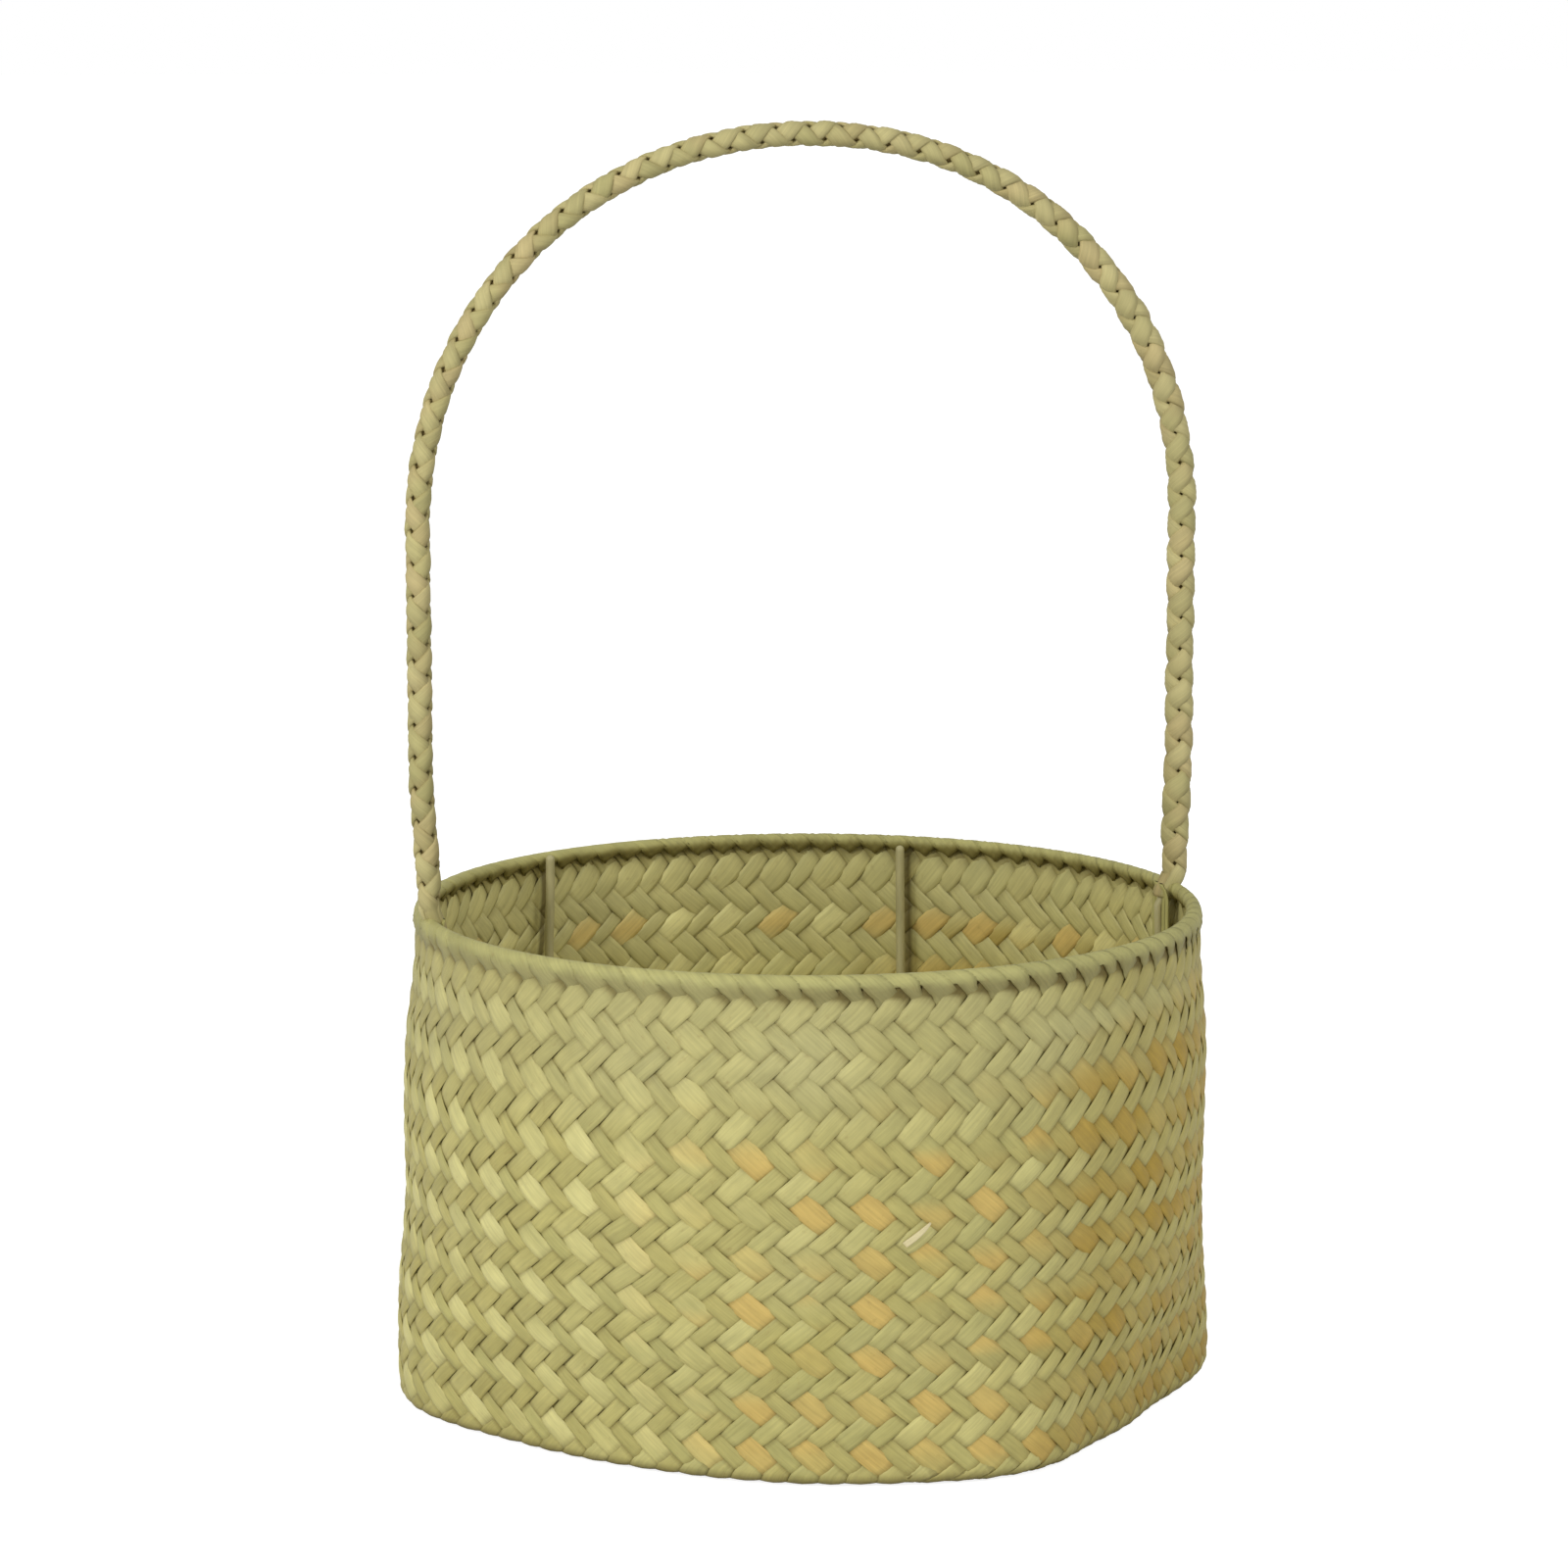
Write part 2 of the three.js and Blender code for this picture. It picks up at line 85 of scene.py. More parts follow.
# The bottom edge's unevenness at the front: bearings, and how far out it lies from the even form
TRIM_KNOTS = (
    [180, 199, 217, 248, 268, 280, 291, 302, 313, 326, 345],
    [0, -4.2, -1, -5.8, -4.5, 1, 3, -2.5, -0.5, -3, 0],
)
TRIM_SMOOTHING = 13
TRIM_TOP = 45.0

# Plait
STRIPS_ROUND = 88
SIDE_LEVELS = 22
STRIPS_A_PIECE = 4
MAT_STRIP_PITCH = 6.15
PLAIT_TURN = -0.26
FLOOR_EASE = 0.7
STRIP_THICKNESS = 0.7
STRIP_EDGE_SHARE = 0.35
FOLD_EDGE_SHARE = 0.92
SAMPLES_PER_LEVEL = 4
PLAIT_LIFT = 0.58
PLAIT_WAVE = 0.9
STRIP_CUPPING = 0.14
STRIP_TILT = 0.12
FOLD_TILT = 0.03
UNEVEN_LIFT = 0.07
UNDER_FOLDS = 0.2

# Half a strip's width, what changes it, and its wander, as shares of the strips' pitch
HALF_WIDTH = 0.508
HALF_WIDTH_MORE_UP_LEFT = 0.028
WIDTH_SPREAD_UP_LEFT = 0.11
WIDTH_SPREAD_UP_RIGHT = 0.045
LEAN_SWAP_LENGTH = 30
UNEVEN_WIDTH = 0.03
WANDER = 0.02
FOLD_HALF_WIDTH = 0.58
SLIT_NARROWING = 0.14
SPARSE_NARROWING = 0.045
LAST_FLOAT_WIDENING = 0.05

# Heights of the plait's rows on the wall, measured in the photograph, by level
ROW_LEVELS = [0, 5.5, 9.5, 13.5, 17.5, 21.5, 25.5, 27.5, 29.5, 31.5, 33.5, 35.5, 36.5, 37.5, 60]
ROW_HEIGHTS = [
    4.0, 25.5, 40.8, 56.0, 70.5, 85.6, 101.9, 111.2, 120.4, 128.8, 137.1, 145.4, 150.4, 154.8, 242.2
]
ROW_SMOOTHING = 21
FLOOR_ROW_RISE = 3.9
BACK_ROWS_DROP = 2.6
ROWS_UNEVEN = 0.5
CROSSINGS_UNEVEN = 0.35

# Bearings, in degrees
BACK_BEARING = 75
CAMERA_BEARING = -105

# Lines of shade beside the back stakes: bearings, half width inside and outside its edge, heights
SHADED_BEARINGS = (59.05, 120.95)
SHADED_DEGREES = (0.35, 0.95)
SHADED_LOW = 6
SHADED_HIGH = 150

# Start and length of what changes on the wall, by height and then by degrees from the front
ROWS_UNEVEN_START = (8, 40)
ROWS_UNEVEN_END = (140, 13)
TOP_START = (100, 30)
FRONT_END = (25, 25)
BEHIND_START = (80, 25)
SIDES_END = (145, 35)
PALE_AND_LIT_END = (-22, 26)
WARM_START = (-33, 27)
FAR_RIGHT_START = (24, 24)
DULL_RIGHT_START = (30, 20)
LEFT_SHADE_START = (26, 26)
LEFT_BACK_START = (95, 15)
LEFT_BACK_END = (150, 15)
SLITS_START = (-22, 35)
SLITS_END = (68, 14)
SPARSE_START = (12, 30)
SPARSE_END = (85, 10)
# Middle and half width of the slits at the far left, and of the coloured row at the back
LEFT_SLITS = (-66, 9)
BACK_BAND = (126, 7)

# Border, and the levels at which the strips change near it
BORDER_START = 150.5
BORDER_FOOT = 145.34
BORDER_THICKNESS = 5.31
FOLD_PATH_RADIUS = 2.2
FOLD_LEAF_INSIDE = 3.2
FOLD_LEAN_IN = 2.5
SLIT_LEVEL = 35.9
DIVE_LEVEL = 36.15
LAST_FLOAT_LEVEL = 35.3
ROLL_LEVEL = 36.9
FOLD_LEVEL = 37.0
ROLL_INSIDE_LEVEL = 38.2
FOLD_END_LEVEL = 38.9
FOLDED_TOP_LEVEL = 39.7
SLANTED_TOP_LEVEL = 38.2
UNDER_FOLDS_START = (36.8, 0.6)
CHANGE_START = (35.4, 0.8)
CHANGE_EARLIER = 0.22

# Wire frame
WIRE_SIDES = 14
CLEARANCE = 0.3
UPRIGHT_GAP = 0.2
BASE_HOOP_WIRE = 3.0
BASE_HOOP_INSET = 0.8
BASE_HOOP_HEIGHT = FLOOR_THICKNESS + CLEARANCE + BASE_HOOP_WIRE / 2
UPRIGHT_LOW = BASE_HOOP_HEIGHT + BASE_HOOP_WIRE / 2 + UPRIGHT_GAP
RIM_WIRE_PLAY = 0.1
STAKE_WIRE = 3.0
STAKE_BOW = 2.6
# Each stake's bearing, and how far its top lies below the rim
STAKES = {
    "stake_back_right": (59.5, 2.5),
    "stake_back_left": (122, 0.0),
    "stake_front_left": (239.5, 3.5),
    "stake_front_right": (-59.5, 3.5),
}
BORDER_INSIDE = RIM_RADIUS - BORDER_THICKNESS

# Handle
BRAID_RADIUS = 4.0
BRAID_SWELL = 0.15
ARCH_RADIUS = node_high("handle_braid")[0] - BRAID_RADIUS * (1 + BRAID_SWELL)
ARCH_RISE = 120.9
ARCH_SQUARENESS = 2.06
ARCH_SPRING = HANDLE_TOP - BRAID_RADIUS - ARCH_RISE
HANDLE_WIRE = 3.0
HANDLE_WIRE_PLAY = 0.05
BRAID_PITCH = 20.0
BRAID_PATH_RADIUS = 2.45
BRAID_WEAVE = 0.36
BRAID_CROWN = 1.3
STRAND_SIDES = 12
STRAND_HALF_WIDTH = 2.82
STRAND_HALF_THICKNESS = 1.2
BRAID_CORE_RADIUS = 2.07
BRAID_TURN = math.radians(25.5)
BRAID_SHIFT = 2.8
LEG_TUCK_RIGHT = 0.9
LEG_TUCK_LEFT = 2.1
LEG_TUCK_START = 205.0
LEG_TUCK_LENGTH = 42.0
FOOT_REACH = 4.6
FOOT_START = 160.5
FOOT_LENGTH = 8.5
THINNING_START = 174.0
THINNING_LENGTH = 14.0
THINNING = 0.1
FOOT_THINNING = 0.12
STRANDS_END = 152.0
TAIL_HALF_WIDTH = 1.35
TAIL_HALF_THICKNESS = 0.4
TAIL_INSIDE_BORDER = 0.9
TAIL_BESIDE_WIRE = 3.1
TAIL_PITCH = 2.9
# Shares of a tail's length: its turn in at the top, and its way to its place beside the other one
TAIL_TURN_IN = 0.12
TAIL_SPREAD = 0.25

# Loose sliver of leaf at the front
SLIVER_BEARING = -91.9
SLIVER_TURN = 3.5
SLIVER_LOW = 75.6
SLIVER_RISE = 6.6
SLIVER_REACH = 127
SLIVER_ARCH = 1.3
SLIVER_SLANT = (0.55, 0.62)
SLIVER_HALF_WIDTH = 1.2
SLIVER_HALF_THICKNESS = 0.18

rng = np.random.default_rng(7)


# Numbers


def ease(t):
    k = np.clip(t, 0, 1)
    return k * k * (3 - 2 * k)


def rise(value, start, length):
    """0 up to a start, 1 from a length beyond it, and smooth between."""
    return ease((value - start) / length)


def fall(value, start, length):
    return 1 - rise(value, start, length)


def bump(value, middle, width):
    return np.exp(-(((value - middle) / width) ** 2))


NOISE_KNOTS = 512


def smooth_noise(x, seed, period=NOISE_KNOTS):
    """Smooth noise from -1 to 1 with a knot at each whole number, the same again after a period."""
    knots = np.random.default_rng(seed).uniform(-1, 1, NOISE_KNOTS)
    low = np.floor(x).astype(int)
    part = ease(x - low)
    return knots[low % period] * (1 - part) + knots[(low + 1) % period] * part


def smoothed(values, window):
    """Values with a moving average over a window, apart from the two ends."""
    half = window // 2
    middle = np.convolve(values, np.ones(window) / window, "valid")
    return np.concatenate([values[:half], middle, values[-half:]])


def unit(vectors):
    return vectors / np.linalg.norm(vectors, axis=-1)[..., None]


def ahead_along(points):
    return unit(np.gradient(points, axis=0))


def stacked(*parts):
    """Vectors from parts that are spread to one shape."""
    return np.stack(np.broadcast_arrays(*parts), -1)


def round_angles(sides):
    return np.arange(sides) * 2 * math.pi / sides


# Surface of the body: middle of the plait, by bearing and by height or by reach from the axis

TRIM_BEARINGS = np.arange(361)
EDGE_TRIM = smoothed(np.interp(TRIM_BEARINGS, *TRIM_KNOTS), TRIM_SMOOTHING)


PROFILE = (
    (BOTTOM_EDGE_RADIUS, BASE_RADIUS),
    (WAIST_HEIGHT, WAIST_RADIUS),
    (BELLY_HEIGHT, BELLY_RADIUS),
    (SHOULDER_HEIGHT, RIM_RADIUS),
)


def round_radius(z):
    radius = BASE_RADIUS
    for (low, below), (high, above) in zip(PROFILE, PROFILE[1:]):
        radius = radius + (above - below) * rise(z, low, high - low)
    return radius


def corner_kick(z, bearing):
    """How far out the base's corners and its unevenness bring the wall."""
    kick = CORNER_KICK_X * np.cos(bearing) ** 2 + CORNER_KICK_Y * np.sin(bearing) ** 2
    kick = kick * np.cos(4 * bearing) * fall(z, BOTTOM_EDGE_RADIUS, CORNER_TOP - BOTTOM_EDGE_RADIUS)
    trim = np.interp(np.degrees(bearing) % 360, TRIM_BEARINGS, EDGE_TRIM)
    return kick + trim * fall(z, BOTTOM_EDGE_RADIUS, TRIM_TOP)


def left_bulge(z, bearing):
    bulge = LEFT_BULGE * rise(z, BOTTOM_EDGE_RADIUS, LEFT_BULGE_RISE)
    bulge = bulge * fall(z, LEFT_BULGE_FALL, SHOULDER_HEIGHT - LEFT_BULGE_FALL)
    return bulge * np.clip(-np.cos(bearing), 0, None) ** 2


EDGE_PATH_RADIUS = BOTTOM_EDGE_RADIUS - PLAIT_DEPTH
EDGE_TURN = EDGE_PATH_RADIUS * math.pi / 2
FOLD_CENTRE = RIM_RADIUS - FOLD_PATH_RADIUS - STRIP_THICKNESS / 2


def edge_reach(bearing):
    """Reach at which the floor starts to turn up."""
    return BASE_RADIUS - BOTTOM_EDGE_RADIUS + corner_kick(0, bearing)


def on_body(bearing, climb):
    """Radius and height of the plait's middle. climb is the height on the wall, runs on over the
    rim hoop, and below the bottom edge it is the way back along the floor."""
    edge = edge_reach(bearing)
    into_turn = climb - BOTTOM_EDGE_RADIUS
    flat_radius = edge + into_turn + EDGE_TURN
    angle = np.clip(1 + into_turn / EDGE_TURN, 0, 1) * math.pi / 2
    turn_radius = edge + EDGE_PATH_RADIUS * np.sin(angle)
    turn_height = BOTTOM_EDGE_RADIUS - EDGE_PATH_RADIUS * np.cos(angle)
    on_floor = into_turn < -EDGE_TURN
    on_turn = into_turn < 0
    wall_radius = round_radius(climb) + corner_kick(climb, bearing) + left_bulge(climb, bearing)
    wall_radius = wall_radius - PLAIT_DEPTH
    to_fold = FOLD_CENTRE + FOLD_PATH_RADIUS - wall_radius
    wall_radius = wall_radius + to_fold * rise(climb, BORDER_START, 2)
    over = climb - RIM_HOOP_HEIGHT
    fold = np.clip(over / FOLD_PATH_RADIUS, 0, math.pi)
    past = np.clip(over - FOLD_PATH_RADIUS * math.pi, 0, None)
    fold_radius = FOLD_CENTRE + FOLD_PATH_RADIUS * np.cos(fold)
    fold_radius = fold_radius + FOLD_LEAN_IN * ease(past / FOLD_LEAF_INSIDE)
    fold_height = RIM_HOOP_HEIGHT + FOLD_PATH_RADIUS * np.sin(fold) - past
    radius = np.where(on_floor, flat_radius, np.where(on_turn, turn_radius, wall_radius))
    height = np.where(on_floor, PLAIT_DEPTH, np.where(on_turn, turn_height, climb))
    return np.where(over > 0, fold_radius, radius), np.where(over > 0, fold_height, height)


def body_point(bearing, climb, lift):
    """Point of the body with its lift outwards from the plait's middle."""
    step = 0.05
    r0, z0 = on_body(bearing, climb - step)
    r1, z1 = on_body(bearing, climb + step)
    length = np.hypot(r1 - r0, z1 - z0)
    r, z = on_body(bearing, climb)
    r = r + lift * (z1 - z0) / length
    z = z - lift * (r1 - r0) / length
    return np.stack([r * np.cos(bearing), r * np.sin(bearing), z], -1)


FINE_LEVELS = np.linspace(-6, 60, 661)
FINE_HEIGHTS = smoothed(
    np.interp(FINE_LEVELS, ROW_LEVELS, ROW_HEIGHTS) + FLOOR_ROW_RISE * np.minimum(FINE_LEVELS, 0),
    ROW_SMOOTHING,
)


def climb_at(level, bearing):
    """Climb of a level of crossings at a bearing. The rows lie a little lower at the back."""
    height = np.interp(level, FINE_LEVELS, FINE_HEIGHTS)
    inside_wall = rise(height, *ROWS_UNEVEN_START) * fall(height, *ROWS_UNEVEN_END)
    back = 0.5 + 0.5 * np.cos(bearing - math.radians(BACK_BEARING))
    # Whole numbers of knots go round, so that the strips of all four quarters agree
    round_share = bearing / (2 * math.pi)
    uneven = ROWS_UNEVEN * smooth_noise(round_share * 32, 11, 32)
    own = smooth_noise(round_share * STRIPS_ROUND + height / 30, 12, STRIPS_ROUND)
    uneven = uneven + CROSSINGS_UNEVEN * own
    return height + (uneven - BACK_ROWS_DROP * back) * inside_wall


def mat_point(quarter, a, b, lift):
    """Point of the plait by its place in the mat's lattice. quarter counts the mat's four quarters,
    a and b are the strips' numbers from the middle, a towards the quarter's first corner and b its
    second."""
    ring = np.maximum(a + b, 1e-6)
    share = np.clip(b / ring, 0, 1)
    level = ring - SIDE_LEVELS
    along_wall = SIDE_LEVELS / 2 + (b - a) / 2
    along = np.where(level < 0, SIDE_LEVELS * share, along_wall) + quarter * SIDE_LEVELS
    turn = (along + PLAIT_TURN * ease(ring / SIDE_LEVELS)) * 2 * math.pi / STRIPS_ROUND
    wall = body_point(turn, climb_at(level, turn), lift)
    # Within the floor the square mat eases out to the base's soft square
    reach = np.minimum(ring / SIDE_LEVELS, 1)
    rim_reach = edge_reach(turn) + EDGE_TURN - BOTTOM_EDGE_RADIUS + ROW_HEIGHTS[0]
    round_reach = rim_reach * reach
    corner = quarter * math.pi / 2
    square_x = MAT_STRIP_PITCH * (a * math.cos(corner) - b * math.sin(corner))
    square_y = MAT_STRIP_PITCH * (a * math.sin(corner) + b * math.cos(corner))
    blend = ease(reach) ** FLOOR_EASE
    x = square_x * (1 - blend) + round_reach * np.cos(turn) * blend
    y = square_y * (1 - blend) + round_reach * np.sin(turn) * blend
    bearing = np.arctan2(y, x)
    back = np.hypot(x, y) - edge_reach(bearing) - EDGE_TURN
    floor = body_point(bearing, BOTTOM_EDGE_RADIUS + back, lift)
    return np.where((level < 0)[..., None], floor, wall)


# Mesh building


def placed(name, data):
    made = bpy.data.objects.new(name, data)
    bpy.context.scene.collection.objects.link(made)
    return made


def new_object(name, points, faces, looks, smooth=True):
    mesh = bpy.data.meshes.new(name)
    mesh.from_pydata(points, [], faces)
    if smooth:
        mesh.shade_smooth()
    for key, (kind, values) in looks.items():
        attribute = mesh.attributes.new(key, kind, "POINT")
        field = "color" if kind == "FLOAT_COLOR" else "vector"
        attribute.data.foreach_set(field, np.asarray(values, np.float32).ravel())
    mesh.update()
    return placed(name, mesh)


def ring_quads(stations, sides, looped=False):
    """Faces between the rings of a tube, each as its four points."""
    here = np.arange(stations if looped else stations - 1)[:, None] * sides + np.arange(sides)
    beside = here - np.arange(sides) + (np.arange(sides) + 1) % sides
    quads = np.stack([here, beside, beside + sides, here + sides], -1)
    return quads.reshape(-1, 4) % (stations * sides)


def ring_ends(stations, sides):
    """Faces that close a tube's two ends."""
    return np.arange(sides)[::-1], np.arange(sides) + (stations - 1) * sides


class Batch:
    """Collects closed ribbons and tubes into one mesh, with their colour and grain at each point."""

    def __init__(self):
        self.points, self.faces, self.colours, self.grain, self.maps = [], [], [], [], []
        self.count = 0

    def add(self, rings, colours, grain, outside=1):
        """rings has one ring of points for each station along the piece; outside is 0 on the
        wall's inside."""
        stations, sides = rings.shape[:2]
        self.faces += (ring_quads(stations, sides) + self.count).tolist()
        self.faces += [(end + self.count).tolist() for end in ring_ends(stations, sides)]
        u, v = np.meshgrid(np.arange(stations - 1), np.arange(sides), indexing="ij")
        corners = ((u, v), (u, v + 1), (u + 1, v + 1), (u + 1, v))
        quad = np.stack([np.stack(corner, -1) for corner in corners], 2) / (stations - 1, sides)
        ring = np.stack([0 * np.arange(sides), np.arange(sides) / sides], -1)
        self.maps.append(np.concatenate([quad.reshape(-1, 2), ring[::-1], ring + (1, 0)]))
        self.points.append(rings.reshape(-1, 3))
        outside = np.broadcast_to(outside, (stations, sides))[..., None]
        self.colours.append(np.concatenate([colours, outside], -1).reshape(-1, 4))
        self.grain.append(grain.reshape(-1, 3))
        self.count += stations * sides

    def build(self, name, material):
        looks = {
            "leaf": ("FLOAT_COLOR", np.concatenate(self.colours)),
            "grain": ("FLOAT_VECTOR", np.concatenate(self.grain)),
        }
        made = new_object(name, np.concatenate(self.points) * MM, self.faces, looks)
        made.data.materials.append(material)
        # Each ribbon has its own band of the map that colours are baked into
        bands = len(self.maps)
        spots = [
            (one * (0.98, 0.9) + (0.01, 0.05) + (0, band)) / (1, bands)
            for band, one in enumerate(self.maps)
        ]
        layer = made.data.uv_layers.new(name="OFBake")
        layer.data.foreach_set("uv", np.concatenate(spots).astype(np.float32).ravel())
        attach(made, "root")
        return made


# Colours


def srgb(*values):
    """Linear colour from sRGB numbers of 0 to 255."""
    v = np.array(values, float) / 255
    return np.where(v <= 0.04045, v / 12.92, ((v + 0.055) / 1.055) ** 2.4)


def mix(a, b, share):
    share = np.asarray(share)[..., None]
    return a * (1 - share) + b * share


STRAW = srgb(184, 174, 104)
PALE_STRAW = srgb(204, 197, 134)
ORANGE_STRAW = srgb(196, 167, 95)
BROWN_STRAW = srgb(160, 134, 55)
GREEN_LEAF = srgb(166, 165, 104)
GREY_LEAF = srgb(176, 170, 118)
DULL_LEAF = srgb(168, 156, 88)
LEFT_SHADE_LEAF = srgb(140, 125, 60)
RIM_LEAF = srgb(163, 159, 102)
RIM_INSIDE_LEAF = srgb(160, 154, 92)
# Dark leaf colour for painted shade, also for dirt along the bottom edge
PAINTED_SHADE_LEAF = srgb(96, 82, 36)
RIGHT_SIDE_LEAF = mix(DULL_LEAF, PAINTED_SHADE_LEAF, 0.2)
SLIVER_LEAF = srgb(206, 194, 150)
LEAF_STAIN = srgb(136, 112, 66)
BRAID_EDGE_AND_SHADE = srgb(138, 118, 66)
BRAID_STRAW = srgb(186, 176, 124)
BRAID_GREEN = srgb(168, 161, 108)
BRAID_TAN = srgb(184, 162, 116)
WIRE_COAT = srgb(172, 164, 116)

# Lengths of the changes along a strip, and degrees and height of the grey patches on the wall
SLOW_LENGTH = 19
QUICK_LENGTH = 8.3
PATCH_DEGREES = 13
PATCH_HEIGHT = 22

# Top of the warm strips, its rise for each degree to the right, and the height of their fade
WARM_TOP = 100
WARM_TOP_RISE = 0.35
WARM_FADE = 22

# How much of each colour and shade goes into a strip
SLOW_TONE = 0.05
QUICK_TONE = 0.03
TOP_PAINTED_SHADE = 0.13
FRONT_PAINTED_SHADE = 0.05
GREY_SHARE = 0.25
GREY_MORE_AT_TOP = 0.35
GREY_IN_PATCHES = 0.3
LEFT_SHADE_SHARE = 0.22
RIGHT_SIDE_SHARE = 0.6
BACK_BAND_SHARE = 0.7
RIM_SHARE = 0.85
ROLL_LIGHT = 0.09
ROLL_SHADE = 0.3
DIVED_SHADE_SHARE = 0.57
DIVED_SHADE_MORE_OUTSIDE = 0.07
DIVING_SHADE_SHARE = 0.75
UNDER_ROLL_SHARE = 0.55
FOLD_END_SHARE = 0.6
INSIDE_LIGHT = 0.2
INSIDE_LEFT_LIGHT = 0.08
BOTTOM_SHARE = 0.75
STAKE_SHADE_SHARE = 0.82


def photo_side(bearing):
    """Degrees round from the side that faces the camera, to the right."""
    return (np.degrees(bearing) - CAMERA_BEARING + 180) % 360 - 180


def strip_colour(lean, wide, seed, bearing, height, level):
    """Colour along a strip by its lean, 1 up to the left or -1, its width and where it is."""
    own = np.random.default_rng(4000 + seed)
    base = mix(STRAW, GREEN_LEAF, own.uniform(0.1, 0.6))
    base = mix(base, DULL_LEAF, own.uniform(0.1, 0.6))
    # The colours of the wall's two sides fade on the floor and towards the middle of the back
    side = photo_side(bearing)
    kept = rise(level, -6, 6) * fall(np.abs(side), *SIDES_END)
    run = height + 5 * np.minimum(level, 0)
    slow = smooth_noise(run / SLOW_LENGTH + 0.37 * seed, 5000 + seed)
    quick = smooth_noise(run / QUICK_LENGTH + 0.53 * seed, 6000 + seed)
    patch = smooth_noise(side / PATCH_DEGREES + 70, 31) * kept
    patch = patch * smooth_noise(height / PATCH_HEIGHT + 30, 32)
    top = rise(height, *TOP_START)
    behind = rise(np.abs(side), *BEHIND_START)
    in_front = 1 - behind
    # Tone differs at random, with painted shade on the upper wall away from the back, and a little
    # more at the front
    tone = 1 + SLOW_TONE * slow + QUICK_TONE * quick - TOP_PAINTED_SHADE * top * in_front
    tone = tone - FRONT_PAINTED_SHADE * fall(np.abs(side), *FRONT_END)
    colour = base * tone[..., None]
    grey = GREY_SHARE + GREY_MORE_AT_TOP * top + GREY_IN_PATCHES * patch
    colour = mix(colour, GREY_LEAF, np.clip(grey, 0, 1))
    if lean > 0:
        # Pale strips at the left, partly painted light, warm ones from the middle on, and brown ones
        # at the far right
        pale_and_lit = fall(side, *PALE_AND_LIT_END) * (1 - 0.55 * top) * kept
        warm_top = WARM_TOP + WARM_TOP_RISE * np.clip(side, 0, 90) * (1 - 0.5 * behind)
        warm = rise(side, *WARM_START) * fall(height, warm_top, WARM_FADE) * kept
        if wide:
            orange = (0.44 + 0.6 * quick + 0.35 * slow) * warm
            colour = mix(colour, PALE_STRAW, np.clip((0.6 + 0.35 * quick) * pale_and_lit, 0, 1))
            colour = mix(colour, ORANGE_STRAW, np.clip(orange, 0, 0.85))
        brown = (0.7 + 0.3 * quick) * rise(side, *FAR_RIGHT_START) * warm
        colour = mix(colour, BROWN_STRAW, np.clip(brown, 0, 1))
        # One row at the back has pale and orange strips
        band = bump(height, *BACK_BAND) * behind
        own_band = PALE_STRAW if own.random() < 0.5 else ORANGE_STRAW
        colour = mix(colour, own_band, BACK_BAND_SHARE * band * wide)
    else:
        lit = (0.5 + 0.5 * quick) * (0.5 if wide else 0.15) * (1 - 0.4 * top)
        colour = mix(colour, PALE_STRAW, np.clip(lit * in_front, 0, 1))
        # Painted shade darkens these strips towards the left
        colour = mix(colour, LEFT_SHADE_LEAF, LEFT_SHADE_SHARE * rise(-side, *LEFT_SHADE_START) * in_front)
        # At the right they are duller: their own colour, with painted shade
        right = rise(side, *DULL_RIGHT_START) * in_front
        colour = mix(colour, RIGHT_SIDE_LEAF, RIGHT_SIDE_SHARE * right)
    return colour


# Strips

# Cross-section of a flat strip: across from -1 to 1, and side 1 outwards or -1 inwards
ACROSS = np.array([-1, -0.6, 0, 0.6, 1, 1, 0.6, 0, -0.6, -1])
SIDE = np.array([1, 1, 1, 1, 1, -1, -1, -1, -1, -1])
OUTSIDE = (1 + SIDE) / 2
INSIDE = (1 - SIDE) / 2
# Quarter of the mat by the signs of its X and Y
QUARTERS = {(1, 1): 0, (-1, 1): 1, (-1, -1): 2, (1, -1): 3}


def plait_wave(level):
    """From 1 where a strip that leans up to the left is outside to -1 where it is inside."""
    # Under the border the strips change places a little lower
    earlier = CHANGE_EARLIER * rise(level, *CHANGE_START)
    wave = np.cos(math.pi / 2 * (level + earlier - 1.5))
    return np.tanh(PLAIT_WAVE * wave) / math.tanh(PLAIT_WAVE)


def strip_bearing(axis, number, t):
    """Bearing of a whole strip's middle line where it is on the wall."""
    ahead, aside = np.abs(t), abs(number)
    beside = 1 if number > 0 else -1
    quarter_at = [QUARTERS[(end, beside) if axis == 0 else (beside, end)] for end in (-1, 1)]
    corner = np.where(t > 0, quarter_at[1], quarter_at[0])
    on_x, on_y = (ahead, aside) if axis == 0 else (aside, ahead)
    b_less_a = np.where(corner % 2 == 0, on_y - on_x, on_x - on_y)
    along = SIDE_LEVELS / 2 + b_less_a / 2 + corner * SIDE_LEVELS
    return (along + PLAIT_TURN) * 2 * math.pi / STRIPS_ROUND


